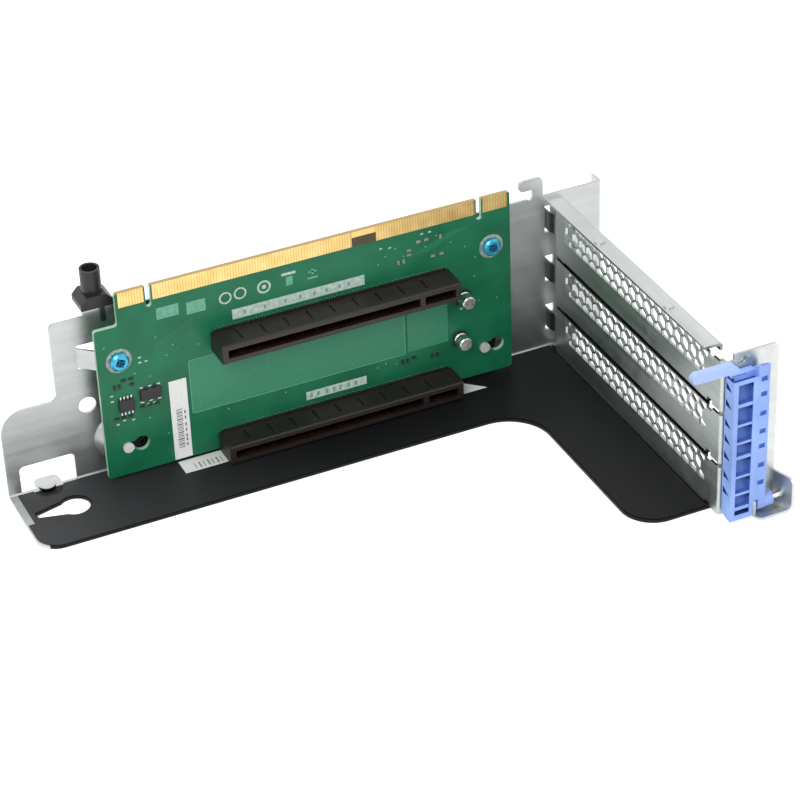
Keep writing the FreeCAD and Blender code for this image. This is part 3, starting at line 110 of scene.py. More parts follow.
room = bpy.data.worlds.new("room")
bpy.context.scene.world = room
room.use_nodes = True
room_tree = room.node_tree
room_tree.nodes.clear()
room_out = room_tree.nodes.new("ShaderNodeOutputWorld")
seen = room_tree.nodes.new("ShaderNodeBackground")
seen.inputs["Color"].default_value = (1.0, 1.0, 1.0, 1.0)
glow = room_tree.nodes.new("ShaderNodeBackground")
glow.inputs["Color"].default_value = (0.96, 0.98, 1.0, 1.0)
glow.inputs["Strength"].default_value = 0.55
room_mix = room_tree.nodes.new("ShaderNodeMixShader")
link(room_tree, ray_mask(room_tree, ("Is Camera Ray", "Is Glossy Ray", "Is Transmission Ray")),
     room_mix.inputs[0])
link(room_tree, glow.outputs[0], room_mix.inputs[1])
link(room_tree, seen.outputs[0], room_mix.inputs[2])
link(room_tree, room_mix.outputs[0], room_out.inputs["Surface"])

FLOOR_HALF = 3.0
FLOOR_LEVEL = -0.0002
floor_mesh = bpy.data.meshes.new("floor")
corners = [(-FLOOR_HALF, -FLOOR_HALF), (FLOOR_HALF, -FLOOR_HALF),
           (FLOOR_HALF, FLOOR_HALF), (-FLOOR_HALF, FLOOR_HALF)]
floor_mesh.from_pydata([(x, y, FLOOR_LEVEL) for x, y in corners], [], [(0, 1, 2, 3)])
floor = bpy.data.objects.new("floor", floor_mesh)
bpy.context.scene.collection.objects.link(floor)
floor_finish = bpy.data.materials.new("pale_floor")
floor_tree, floor_out = node_tree(floor_finish)
floor_matt = floor_tree.nodes.new("ShaderNodeBsdfDiffuse")
floor_matt.inputs["Color"].default_value = (0.80, 0.80, 0.80, 1.0)
floor_glow = floor_tree.nodes.new("ShaderNodeEmission")
floor_glow.inputs["Strength"].default_value = 0.62
floor_dark = floor_tree.nodes.new("ShaderNodeEmission")
floor_dark.inputs["Strength"].default_value = 0.0
floor_pick = floor_tree.nodes.new("ShaderNodeMixShader")
floor_sum = floor_tree.nodes.new("ShaderNodeAddShader")
link(floor_tree, ray_mask(floor_tree, ("Is Camera Ray", "Is Glossy Ray")), floor_pick.inputs[0])
link(floor_tree, floor_dark.outputs[0], floor_pick.inputs[1])
link(floor_tree, floor_glow.outputs[0], floor_pick.inputs[2])
link(floor_tree, floor_matt.outputs[0], floor_sum.inputs[0])
link(floor_tree, floor_pick.outputs[0], floor_sum.inputs[1])
link(floor_tree, floor_sum.outputs[0], floor_out.inputs["Surface"])
floor_mesh.materials.append(floor_finish)


# ---------------------------------------------------------------- sheet steel
# The carrier, the slot frame and the covers are folded from zinc-plated sheet.
# Rolling leaves faint lines along it and the zinc a soft crystal pattern.

def new_shader(name, colour, metallic, roughness, level=0.5):
    """A principled material with plain values on its own sockets."""
    material = bpy.data.materials.new(name)
    tree, output = node_tree(material)
    shader = tree.nodes.new("ShaderNodeBsdfPrincipled")
    shader.inputs["Base Color"].default_value = (*colour, 1.0)
    shader.inputs["Metallic"].default_value = metallic
    shader.inputs["Roughness"].default_value = roughness
    shader.inputs["Specular IOR Level"].default_value = level
    link(tree, shader.outputs["BSDF"], output.inputs["Surface"])
    return material, tree, shader


def place_texture(tree, scale):
    """Object coordinates, stretched by a mapping node."""
    coordinates = tree.nodes.new("ShaderNodeTexCoord")
    mapping = tree.nodes.new("ShaderNodeMapping")
    mapping.inputs["Scale"].default_value = scale
    link(tree, coordinates.outputs["Object"], mapping.inputs["Vector"])
    return mapping.outputs["Vector"]


def add_noise(tree, vector, scale, detail=3.0, roughness=0.5):
    """Soft noise over the given coordinates, from 0 to 1."""
    noise = tree.nodes.new("ShaderNodeTexNoise")
    noise.inputs["Scale"].default_value = scale
    noise.inputs["Detail"].default_value = detail
    noise.inputs["Roughness"].default_value = roughness
    link(tree, vector, noise.inputs["Vector"])
    return noise.outputs["Fac"]


def add_ramp(tree, factor, stops):
    """A colour ramp from a list of places and colours."""
    ramp = tree.nodes.new("ShaderNodeValToRGB")
    elements = ramp.color_ramp.elements
    while len(elements) < len(stops):
        elements.new(0.5)
    for element, (place, colour) in zip(elements, stops):
        element.position = place
        element.color = (*colour, 1.0)
    link(tree, factor, ramp.inputs["Fac"])
    return ramp.outputs["Color"]


def spread(tree, factor, low, high):
    """Moves a 0 to 1 factor to the range from low to high."""
    remap = tree.nodes.new("ShaderNodeMapRange")
    remap.inputs["To Min"].default_value = low
    remap.inputs["To Max"].default_value = high
    link(tree, factor, remap.inputs["Value"])
    return remap.outputs["Result"]


def add_bump(tree, shader, height, strength, distance):
    """Lets a height disturb the shader's normal."""
    bump = tree.nodes.new("ShaderNodeBump")
    bump.inputs["Strength"].default_value = strength
    bump.inputs["Distance"].default_value = distance
    link(tree, height, bump.inputs["Height"])
    link(tree, bump.outputs["Normal"], shader.inputs["Normal"])


def combine(tree, operation, first, second):
    """One math node; a number goes on its own socket and anything else is linked."""
    node = tree.nodes.new("ShaderNodeMath")
    node.operation = operation
    for socket, given in zip(node.inputs, (first, second)):
        if isinstance(given, float):
            socket.default_value = given
        else:
            link(tree, given, socket)
    return node.outputs[0]


def inside_box(tree, low, high):
    """1 where the object coordinates, in metres, lie in a box, else 0."""
    split = tree.nodes.new("ShaderNodeSeparateXYZ")
    link(tree, place_texture(tree, (1.0, 1.0, 1.0)), split.inputs[0])
    mask = None
    for axis, least, most in zip("XYZ", low, high):
        for operation, bound in (("GREATER_THAN", least), ("LESS_THAN", most)):
            test = combine(tree, operation, split.outputs[axis], float(bound))
            mask = test if mask is None else combine(tree, "MULTIPLY", mask, test)
    return mask


def blend_colour(tree, factor, first, second):
    """The first colour where the factor is 0 and the second where it is 1."""
    mix = tree.nodes.new("ShaderNodeMix")
    mix.data_type = "RGBA"
    link(tree, factor, mix.inputs["Factor"])
    for socket, given in ((mix.inputs[6], first), (mix.inputs[7], second)):
        if isinstance(given, tuple):
            socket.default_value = (*given, 1.0)
        else:
            link(tree, given, socket)
    return mix.outputs[2]


def base_tone(material):
    """The material's shader and what now feeds its base colour, to be painted over."""
    shader = next(n for n in material.node_tree.nodes if n.type == "BSDF_PRINCIPLED")
    return shader, shader.inputs["Base Color"].links[0].from_socket


def steel_finish(name, dark, light, along, shaded_and_blackened=(), shade_and_black_tone=(0.02, 0.02, 0.02)):
    """Zinc-plated sheet: rolling lines along one axis over a soft crystal pattern.
    The boxes given are painted dark: black where the film covers an edge, and painted shade on faces that lie
    in shadow."""
    material, tree, shader = new_shader(name, light, 1.0, 0.38)
    stretch = {"x": (14.0, 420.0, 420.0), "y": (420.0, 14.0, 420.0)}[along]
    lines = add_noise(tree, place_texture(tree, stretch), 1.0, 4.0, 0.6)
    plain = place_texture(tree, (1.0, 1.0, 1.0))
    crystal = tree.nodes.new("ShaderNodeTexVoronoi")
    crystal.inputs["Scale"].default_value = 260.0
    link(tree, plain, crystal.inputs["Vector"])
    cloud = add_noise(tree, plain, 28.0, 3.0)
    tone = tree.nodes.new("ShaderNodeMix")
    tone.data_type = "FLOAT"
    tone.inputs["Factor"].default_value = 0.45
    link(tree, lines, tone.inputs["A"])
    link(tree, cloud, tone.inputs["B"])
    colour = add_ramp(tree, tone.outputs["Result"], [(0.30, dark), (0.70, light)])
    # Each box is painted dark: black under the film's edge, painted shade elsewhere.
    for low, high in shaded_and_blackened:
        colour = blend_colour(tree, inside_box(tree, low, high), colour, shade_and_black_tone)
    link(tree, colour, shader.inputs["Base Color"])
    rough = tree.nodes.new("ShaderNodeMix")
    rough.data_type = "FLOAT"
    rough.inputs["Factor"].default_value = 0.35
    link(tree, lines, rough.inputs["A"])
    link(tree, crystal.outputs["Distance"], rough.inputs["B"])
    link(tree, spread(tree, rough.outputs["Result"], 0.30, 0.52), shader.inputs["Roughness"])
    add_bump(tree, shader, lines, 0.12, 0.00004)
    return material


def finish_node(name, material):
    """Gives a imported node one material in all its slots."""
    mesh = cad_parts[name].data
    mesh.materials.clear()
    mesh.materials.append(material)


# The first box paints the steel black under the film's edge; the other three are painted shade: a low strip
# near the floor's left end, and the strap faces close behind the card.
carrier_steel = steel_finish(
    "carrier_steel", (0.42, 0.435, 0.43), (0.56, 0.58, 0.575), "x",
    (((-0.0303, -0.2, -0.001), (0.2, 0.0069, 0.00115)),
     ((-0.0230, 0.0050, 0.00105), (-0.0164, 0.0114, 0.0018)),
     ((0.0045, 0.0014, 0.0100), (0.0160, 0.0030, 0.0172)),
     ((0.1398, 0.0014, 0.0100), (0.1512, 0.0030, 0.0172))))
# The box paints the covers' tongues behind the wall dark, as painted shade.
cover_steel = steel_finish("cover_steel", (0.38, 0.42, 0.40), (0.55, 0.59, 0.565), "y",
                           (((0.1710, 0.0030, 0.0), (0.17315, 0.0130, 0.0700)),), (0.10, 0.105, 0.10))
cover_tree = cover_steel.node_tree
cover_shader, cover_tone = base_tone(cover_steel)
COVER_MIDDLES = (0.01060, 0.03092, 0.05124)
# The mesh fields are painted lighter than the rest of each cover, a painted sheen.
for middle in COVER_MIDDLES:
    painted_mesh_sheen = inside_box(cover_tree, (0.1730, -0.1012, middle - 0.0011),
                            (0.1745, -0.0040, middle + 0.0087))
    cover_tone = blend_colour(cover_tree, painted_mesh_sheen, cover_tone, (0.61, 0.64, 0.62))
# The covers' top and bottom edge faces, away from the tab and the mesh, are painted near black: painted shade
# in the gaps between covers.
turned = cover_tree.nodes.new("ShaderNodeTexCoord")
turned_split = cover_tree.nodes.new("ShaderNodeSeparateXYZ")
link(cover_tree, turned.outputs["Normal"], turned_split.inputs[0])
long_edge = combine(cover_tree, "GREATER_THAN",
                    combine(cover_tree, "ABSOLUTE", turned_split.outputs["Z"], 0.0), 0.7)
away_from_tab = inside_box(cover_tree, (0.1720, -0.1105, -0.001), (0.1750, 0.0030, 0.0700))
for middle in COVER_MIDDLES:
    away_from_mesh = inside_box(cover_tree, (0.1720, -0.1105, middle - 0.0090),
                                (0.1750, 0.0030, middle + 0.0090))
    away_from_tab = combine(cover_tree, "SUBTRACT", away_from_tab, away_from_mesh)
painted_gap_shade = combine(cover_tree, "MULTIPLY", long_edge, away_from_tab)
cover_tone = blend_colour(cover_tree, painted_gap_shade, cover_tone, (0.03, 0.033, 0.032))
link(cover_tree, cover_tone, cover_shader.inputs["Base Color"])
# The frame's rungs and low flange inside the box are painted near black, painted shade seen through the gaps
# between the covers.
frame_steel = steel_finish(
    "frame_steel", (0.46, 0.48, 0.47), (0.62, 0.64, 0.63), "y",
    (((0.1730, -0.1034, 0.0012), (0.1784, -0.0015, 0.0600)),), (0.035, 0.04, 0.038))
finish_node("main_bracket", carrier_steel)
finish_node("slot_frame", frame_steel)
for cover in ("slot_cover_lower", "slot_cover_middle", "slot_cover_upper"):
    finish_node(cover, cover_steel)


# ---------------------------------------------------------------- rivets, studs and pin
# Small turned steel pieces: brighter than the sheet, with fine turning marks.

def turned_finish(name, colour):
    """Turned metal: fine marks in its gloss and its surface."""
    material, tree, shader = new_shader(name, colour, 1.0, 0.28)
    marks = add_noise(tree, place_texture(tree, (900.0, 900.0, 900.0)), 1.0, 2.0)
    link(tree, spread(tree, marks, 0.18, 0.40), shader.inputs["Roughness"])
    add_bump(tree, shader, marks, 0.10, 0.00003)
    return material


turned_steel = turned_finish("turned_steel", (0.62, 0.62, 0.61))
for piece in ("frame_rivets", "latch_pin"):
    finish_node(piece, turned_steel)
stud_white, stud_tree, stud_shader = new_shader("stud_white", (0.80, 0.81, 0.80), 0.45, 0.35)
stud_marks = add_noise(stud_tree, place_texture(stud_tree, (900.0, 900.0, 900.0)), 1.0, 2.0)
link(stud_tree, spread(stud_tree, stud_marks, 0.26, 0.46), stud_shader.inputs["Roughness"])
for piece in ("hook_stud_left", "hook_stud_right"):
    finish_node(piece, stud_white)


# ---------------------------------------------------------------- film and paper strips
# A black polyester film is glued on the carrier's floor, with a white paper
# strip on it in front of the card and an upright one on the card itself.

film_black, film_tree, film_shader = new_shader("film_black", (0.010, 0.010, 0.011), 0.0, 0.42, 0.16)
film_grain = add_noise(film_tree, place_texture(film_tree, (1.0, 1.0, 1.0)), 900.0, 3.0)
link(film_tree, spread(film_tree, film_grain, 0.34, 0.52), film_shader.inputs["Roughness"])
film_split = film_tree.nodes.new("ShaderNodeSeparateXYZ")
link(film_tree, place_texture(film_tree, (5.0, 1.0, 1.0)), film_split.inputs[0])
film_run = combine(film_tree, "ADD", film_split.outputs["X"], 0.17)
link(film_tree, add_ramp(film_tree, film_run, [(0.0, (0.040, 0.041, 0.043)), (0.55, (0.008, 0.008, 0.009))]),
     film_shader.inputs["Base Color"])
add_bump(film_tree, film_shader, film_grain, 0.08, 0.00003)
finish_node("insulator_film", film_black)

paper, paper_tree, paper_shader = new_shader("paper", (0.78, 0.79, 0.77), 0.0, 0.62, 0.3)
paper_grain = add_noise(paper_tree, place_texture(paper_tree, (1.0, 1.0, 1.0)), 1400.0, 4.0)
link(paper_tree, add_ramp(paper_tree, paper_grain, [(0.3, (0.70, 0.71, 0.69)), (0.7, (0.82, 0.83, 0.81))]),
     paper_shader.inputs["Base Color"])
add_bump(paper_tree, paper_shader, paper_grain, 0.10, 0.00002)
lined_paper = paper.copy()
lined_paper.name = "lined_paper"
lined_tree = lined_paper.node_tree
lined_shader, lined_tone = base_tone(lined_paper)
for k in range(7):
    start = 0.0295 + 0.0016 * k
    end = start + 0.0004 + 0.0003 * (k % 2)
    stroke = inside_box(lined_tree, (start, -0.0062, -0.001), (end, -0.0028, 0.01))
    lined_tone = blend_colour(lined_tree, stroke, lined_tone, (0.30, 0.30, 0.31))
link(lined_tree, lined_tone, lined_shader.inputs["Base Color"])
finish_node("strip_label", lined_paper)
finish_node("serial_label", paper)


# ---------------------------------------------------------------- printed board
# Glass-epoxy board under green solder mask: lighter over the copper planes,
# darker between them, and pale at its cut edges.

board_green, board_tree, board_shader = new_shader("board_green", (0.02, 0.25, 0.14), 0.0, 0.36, 0.28)
board_plain = place_texture(board_tree, (1.0, 1.0, 1.0))
board_cloud = add_noise(board_tree, board_plain, 60.0, 4.0)
board_face = add_ramp(board_tree, board_cloud, [(0.35, (0.005, 0.108, 0.048)), (0.65, (0.010, 0.150, 0.070))])
board_turn = board_tree.nodes.new("ShaderNodeTexCoord")
board_split = board_tree.nodes.new("ShaderNodeSeparateXYZ")
board_side = board_tree.nodes.new("ShaderNodeMath")
board_side.operation = "ABSOLUTE"
board_mix = board_tree.nodes.new("ShaderNodeMix")
board_mix.data_type = "RGBA"
link(board_tree, board_turn.outputs["Normal"], board_split.inputs[0])
link(board_tree, board_split.outputs["Y"], board_side.inputs[0])
link(board_tree, board_side.outputs[0], board_mix.inputs["Factor"])
board_edge = add_ramp(board_tree, board_cloud, [(0.3, (0.30, 0.50, 0.34)), (0.7, (0.38, 0.60, 0.42))])
card_top = inside_box(board_tree, (0.0085, -0.001, 0.0736), (0.1550, 0.002, 0.0800))
board_edge = blend_colour(board_tree, card_top, board_edge, (0.42, 0.30, 0.13))
link(board_tree, board_edge, board_mix.inputs[6])
link(board_tree, board_face, board_mix.inputs[7])
link(board_tree, board_mix.outputs[2], board_shader.inputs["Base Color"])
link(board_tree, spread(board_tree, board_cloud, 0.26, 0.42), board_shader.inputs["Roughness"])
add_bump(board_tree, board_shader, board_cloud, 0.05, 0.00003)
finish_node("riser_board", board_green)

MM = 0.001
CARD_FOOT = 2.5
CARD_BACK = 1.6


def box_loop(left, low, right, high):
    """An upright box as its four corners."""
    return [(left, low), (right, low), (right, high), (left, high)]


def disc_loop(across, height, radius, sides=20):
    """A disc: the middle plus the radius along the cosine and sine of each turn."""
    turns = np.linspace(0.0, 2.0 * np.pi, sides, endpoint=False)
    return [(across + radius * math.cos(t), height + radius * math.sin(t)) for t in turns]


def stroke_loop(start, end, width):
    """A straight stroke between two points: its four corners, half a width to each side."""
    (x0, z0), (x1, z1) = start, end
    length = math.hypot(x1 - x0, z1 - z0)
    dx, dz = (x1 - x0) / length * width / 2.0, (z1 - z0) / length * width / 2.0
    return [(x0 + dz, z0 - dx), (x1 + dz, z1 - dx), (x1 - dz, z1 + dx), (x0 - dz, z0 + dx)]


def ring_loops(across, height, inner, outer, sides=28):
    """A flat ring as one quad loop for each step of its turn."""
    turns = np.linspace(0.0, 2.0 * np.pi, sides + 1)
    loops = []
    for a, b in zip(turns[:-1], turns[1:]):
        loops.append([(across + r * math.cos(t), height + r * math.sin(t))
                      for r, t in ((inner, a), (outer, a), (outer, b), (inner, b))])
    return loops


def carry_ring(points, faces, near_ring, far_ring):
    """Adds the closed prism between two rings of the same count: both ends, then one
    quad for each side. The near ring runs anticlockwise seen from outside its end."""
    start, count = len(points), len(near_ring)
    points += near_ring + far_ring
    faces.append([start + count - 1 - k for k in range(count)])
    faces.append([start + count + k for k in range(count)])
    for k in range(count):
        after = (k + 1) % count
        faces.append([start + k, start + after, start + count + after, start + count + k])


def add_piece(name, points, faces, material, body):
    """Makes a mesh of the points and faces and gives it a finish, a body and a slot."""
    mesh = bpy.data.meshes.new(name)
    mesh.from_pydata(np.array(points).tolist(), [], faces)
    mesh.materials.append(material)
    piece = bpy.data.objects.new(name, mesh)
    bpy.context.scene.collection.objects.link(piece)
    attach(piece, body)
    return piece


def card_plates(name, loops, near, rise, material):
    """Thin prisms on the card: each loop of x and height in mm, anticlockwise seen
    from the front, is carried towards -Y from the near plane by the rise."""
    points, faces = [], []
    for loop in loops:
        carry_ring(points, faces, [(x * MM, near * MM, (z + CARD_FOOT) * MM) for x, z in loop],
                   [(x * MM, (near - rise) * MM, (z + CARD_FOOT) * MM) for x, z in loop])
    return add_piece(name, points, faces, material, "riser")


def ink_finish(name, dark, light, roughness):
    """Printed or coated film: mottled between two tones."""
    material, tree, shader = new_shader(name, light, 0.0, roughness, 0.28)
    mottle = add_noise(tree, place_texture(tree, (1.0, 1.0, 1.0)), 700.0, 3.0)
    link(tree, add_ramp(tree, mottle, [(0.35, dark), (0.65, light)]), shader.inputs["Base Color"])
    link(tree, spread(tree, mottle, roughness - 0.06, roughness + 0.08), shader.inputs["Roughness"])
    return material


# ---------------------------------------------------------------- card print
# Screen-printed blocks and frames, lighter copper areas and fine tracks, all
# printed or etched flat on the card.

panel_green = ink_finish("panel_green", (0.036, 0.215, 0.120), (0.042, 0.232, 0.132), 0.34)
track_green = ink_finish("track_green", (0.020, 0.185, 0.095), (0.026, 0.205, 0.108), 0.34)
silk_white = ink_finish("silk_white", (0.34, 0.46, 0.40), (0.52, 0.62, 0.56), 0.6)
silk_faint = ink_finish("silk_faint", (0.10, 0.32, 0.22), (0.16, 0.40, 0.28), 0.5)
silk_mark = ink_finish("silk_mark", (0.16, 0.28, 0.22), (0.22, 0.34, 0.28), 0.6)

PANEL_LEFT, PANEL_LOW, PANEL_RIGHT, PANEL_HIGH = 31.9, 17.0, 112.4, 38.5
OUTLINE = 0.22
PRINT_RISE = 0.014
card_plates("copper_panel", [box_loop(PANEL_LEFT, PANEL_LOW, PANEL_RIGHT, PANEL_HIGH),
                             box_loop(113.4, 17.6, 129.0, 37.0)],
            0.0, 0.006, panel_green)
card_plates("panel_outline",
            [box_loop(PANEL_LEFT, PANEL_LOW, PANEL_RIGHT, PANEL_LOW + OUTLINE),
             box_loop(PANEL_LEFT, PANEL_HIGH - OUTLINE, PANEL_RIGHT, PANEL_HIGH),
             box_loop(PANEL_LEFT, PANEL_LOW, PANEL_LEFT + OUTLINE, PANEL_HIGH),
             box_loop(PANEL_RIGHT - OUTLINE, PANEL_LOW, PANEL_RIGHT, PANEL_HIGH)],
            0.0, PRINT_RISE, silk_faint)
card_plates("print_strips", [box_loop(49.0, 49.8, 98.0, 53.7), box_loop(74.0, 9.5, 97.0, 12.8)],
            0.0, PRINT_RISE, silk_white)
marks = [box_loop(x, 50.9, x + 0.9, 52.4) for x in (53.0, 60.5, 68.0, 73.6, 78.8, 83.4, 88.2, 91.6)]
marks += [box_loop(x, 10.2, x + 1.0, 12.0) for x in (75.4, 78.0, 81.2, 84.0, 86.4, 89.6, 92.4)]
card_plates("strip_marks", marks, 0.0, 0.018, silk_mark)
faint = [box_loop(22.3, 57.5, 30.2, 61.9), box_loop(33.0, 56.4, 39.8, 61.1)]
card_plates("faint_blocks", faint, 0.0, PRINT_RISE, silk_faint)
icons = ring_loops(47.0, 58.9, 1.7, 2.3) + ring_loops(52.4, 59.3, 1.7, 2.3)
icons += ring_loops(61.1, 59.3, 1.8, 2.5) + [box_loop(60.4, 58.6, 61.8, 60.0)]
icons += [box_loop(67.6, 61.5, 72.8, 62.5)]
card_plates("plain_icons", icons, 0.0, PRINT_RISE, silk_white)
card_plates("faint_icons", [box_loop(69.2, 57.4, 71.6, 60.8), box_loop(77.0, 57.6, 80.8, 58.3),
                            box_loop(78.6, 59.2, 79.4, 61.4), box_loop(77.4, 60.0, 80.6, 60.6)],
            0.0, PRINT_RISE, silk_faint)
lines = []
for step in range(9):
    rise = 1.1 * step
    lines.append(stroke_loop((36.0 + 1.4 * step, 19.0 + rise * 0.6), (104.0 - 2.2 * step, 22.5 + rise), 0.16))
for step in range(7):
    lines.append(stroke_loop((20.5, 40.5 + 1.2 * step), (34.5, 47.4 + 1.2 * step), 0.18))
for step in range(6):
    lines.append(stroke_loop((116.0 + 1.1 * step, 56.0), (132.0 + 1.1 * step, 62.0), 0.18))
for step in range(5):
    lines.append(stroke_loop((113.6, 21.0 + 2.0 * step), (126.0, 22.4 + 2.0 * step), 0.16))
card_plates("tracks", lines, 0.0, 0.009, track_green)


# ---------------------------------------------------------------- solder and plated rings
# Tinned points above each socket, plated rings under the screw heads, via dots,
# and small pads by the chips.

tin = turned_finish("tin", (0.66, 0.68, 0.67))
worn_tin = ink_finish("worn_tin", (0.16, 0.22, 0.19), (0.42, 0.44, 0.40), 0.45)
SOCKET_FEET = (5.5, 46.14)
SOCKET_SETBACK = 3.5
points = []
for foot in SOCKET_FEET:
    top = foot + SOCKET_SETBACK + 0.95 - CARD_FOOT
    points += [disc_loop(42.6 + k, top + (0.35 if k % 2 else 0.0), 0.26, 8) for k in range(86)]
card_plates("socket_points", points, 0.0, 0.12, tin)
comb_black = ink_finish("comb_black", (0.010, 0.008, 0.008), (0.020, 0.016, 0.015), 0.5)
teeth = []
for foot in SOCKET_FEET:
    top = foot + SOCKET_SETBACK - CARD_FOOT
    teeth += [box_loop(41.85 + k, top, 42.35 + k, top + 0.85) for k in range(87)]
card_plates("socket_combs", teeth, 0.0, 0.6, comb_black)
SCREW_PLACES = {"left": (7.7, 48.2), "right": (146.5, 54.1)}
for side, (across, height) in SCREW_PLACES.items():
    card_plates("plated_ring_" + side, ring_loops(across, height - CARD_FOOT, 3.34, 4.6), 0.0, 0.03,
                worn_tin)
label_ink = ink_finish("label_ink", (0.10, 0.09, 0.11), (0.20, 0.17, 0.20), 0.6)
bars = []
bar_widths = (0.5, 0.3, 0.8, 0.3, 0.5, 0.9, 0.3, 0.6, 0.4, 0.8, 0.3, 0.5)
bar_low = 7.2 - CARD_FOOT
for width in bar_widths * 2:
    bars.append(box_loop(26.0, bar_low, 28.2, bar_low + width * 0.6))
    bar_low += width * 0.6 + 0.36
card_plates("label_bars", bars, -0.1, 0.012, label_ink)
label_lines = [box_loop(28.9, z, 29.4, z + 1.2) for z in (5.0, 7.0, 8.6, 11.0, 13.2, 16.0, 18.2)]
card_plates("label_lines", label_lines, -0.1, 0.012, label_ink)
vias = [(24.5, 43.0), (27.0, 46.4), (21.2, 51.0), (36.0, 44.0), (103.4, 56.0), (106.2, 58.4),
        (110.0, 60.6), (113.0, 56.8), (118.4, 60.4), (121.4, 58.2), (125.6, 61.6), (131.0, 57.4),
        (136.4, 54.2), (140.2, 49.0), (139.8, 41.4), (141.4, 31.0), (148.4, 30.2), (143.0, 63.8),
        (101.5, 14.6), (104.6, 15.4), (108.6, 14.2), (66.4, 15.2), (45.0, 15.0), (3.0, 52.0),
        (16.6, 20.2), (12.8, 39.2), (18.0, 36.6), (22.6, 12.0)]
card_plates("via_dots", [disc_loop(x, z, 0.32, 10) for x, z in vias], 0.0, 0.02, silk_faint)
pads = []
for x, z in ((4.6, 22.4), (4.6, 20.6), (7.0, 21.6), (10.2, 21.0), (3.4, 32.4), (3.4, 30.2),
             (16.0, 25.6), (18.2, 25.6), (20.4, 27.0), (14.4, 42.6), (16.6, 42.6), (14.4, 44.6),
             (104.0, 61.8), (107.4, 61.2), (119.6, 63.4), (122.6, 63.4), (133.8, 29.2), (136.4, 29.2)):
    pads.append(box_loop(x, z, x + 1.1, z + 0.55))
card_plates("small_pads", pads, 0.0, 0.03, silk_white)


# ---------------------------------------------------------------- rung lips
# The frame's two rungs are turned down at their inner edge, close behind the covers, so that no light comes
# through the seams between them.
# The lips lie inside the frame steel's painted shade box, so they show near black, painted shade in the
# seams.

def row_box(name, low, high, material, body):
    """One box with its faces outward, from its lowest and highest corners in mm."""
    corner = np.array([(x, y, z) for x in (low[0], high[0]) for y in (low[1], high[1])
                       for z in (low[2], high[2])]) * MM
    sides = [(0, 1, 3, 2), (4, 6, 7, 5), (0, 4, 5, 1), (2, 3, 7, 6), (0, 2, 6, 4), (1, 5, 7, 3)]
    return add_piece(name, corner, sides, material, body)


for name, middle in (("rung_lip_lower", 20.76), ("rung_lip_upper", 41.08)):
    row_box(name, (174.42, -103.1, middle - 2.2), (174.75, -2.1, middle - 0.3), frame_steel, "riser")


# ---------------------------------------------------------------- gold contacts
# Plated bands along the card's upper edge and the springs inside the sockets.

def gold_finish(name, dark, light):
    """Plated metal: mottled between two tones, with a slightly uneven gloss."""
    material, tree, shader = new_shader(name, light, 1.0, 0.30)
    tone = add_noise(tree, place_texture(tree, (1.0, 1.0, 1.0)), 180.0, 3.0)
    link(tree, add_ramp(tree, tone, [(0.3, dark), (0.7, light)]), shader.inputs["Base Color"])
    link(tree, spread(tree, tone, 0.24, 0.42), shader.inputs["Roughness"])
    return material


gold = gold_finish("gold", (0.70, 0.46, 0.16), (0.88, 0.62, 0.26))
spring_bronze = gold_finish("spring_bronze", (0.16, 0.055, 0.035), (0.24, 0.085, 0.055))
for band in ("connector_contacts_upper", "connector_contacts_lower"):
    finish_node(band, spring_bronze)
gap_gold = gold_finish("gap_gold", (0.44, 0.30, 0.10), (0.60, 0.43, 0.17))
bare_brown = ink_finish("bare_brown", (0.060, 0.045, 0.026), (0.095, 0.070, 0.040), 0.5)
card_plates("bare_patch", [box_loop(94.0, 65.7, 103.0, 69.2)], 0.0, 0.02, bare_brown)
card_plates("bare_patch_band", [box_loop(94.0, 69.2, 103.0, 71.38)], 0.0, 0.03, gold)
for side, near, breaks in (("front", 0.0, ((9.4, 18.5), (21.5, 94.0), (103.0, 140.5), (143.5, 153.0))),
                           ("back", CARD_BACK + 0.05, ((9.4, 18.5), (21.5, 140.5), (143.5, 153.0)))):
    strips = []
    for start, end in breaks:
        strips += [box_loop(x - 0.37, 65.75, x + 0.37, 71.35) for x in np.arange(start + 0.5, end, 1.0)]
    piece = card_plates("contact_strips_" + side, strips, near, 0.05, gold)
    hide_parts("edge_contacts_" + side)
    under = [box_loop(start, 65.7, end, 71.39) for start, end in breaks]
    card_plates("contact_ground_" + side, under, near - (0.0 if side == "front" else 0.03), 0.02,
                gap_gold)


# ---------------------------------------------------------------- sockets
# Long sockets moulded in dark brown-black nylon with a fine matt grain.

def moulded_finish(name, colour, roughness, grain_scale, grain_depth, level=0.4):
    """Moulded plastic: a fine spark grain and slight variation of tone."""
    material, tree, shader = new_shader(name, colour, 0.0, roughness, level)
    plain = place_texture(tree, (1.0, 1.0, 1.0))
    grain = add_noise(tree, plain, grain_scale, 3.0)
    cloud = add_noise(tree, plain, 70.0, 2.0)
    darker = tuple(c * 0.82 for c in colour)
    lighter = tuple(min(1.0, c * 1.15) for c in colour)
    link(tree, add_ramp(tree, cloud, [(0.3, darker), (0.7, lighter)]), shader.inputs["Base Color"])
    link(tree, spread(tree, grain, roughness - 0.08, roughness + 0.10), shader.inputs["Roughness"])
    add_bump(tree, shader, grain, 0.18, grain_depth)
    return material


socket_black = moulded_finish("socket_black", (0.016, 0.011, 0.010), 0.40, 1600.0, 0.00003)
finish_node("connector_housing_upper", socket_black)
finish_node("connector_housing_lower", socket_black)


# ---------------------------------------------------------------- soldered parts
# Aluminium cans on black feet, chips in black epoxy, and small chip parts.

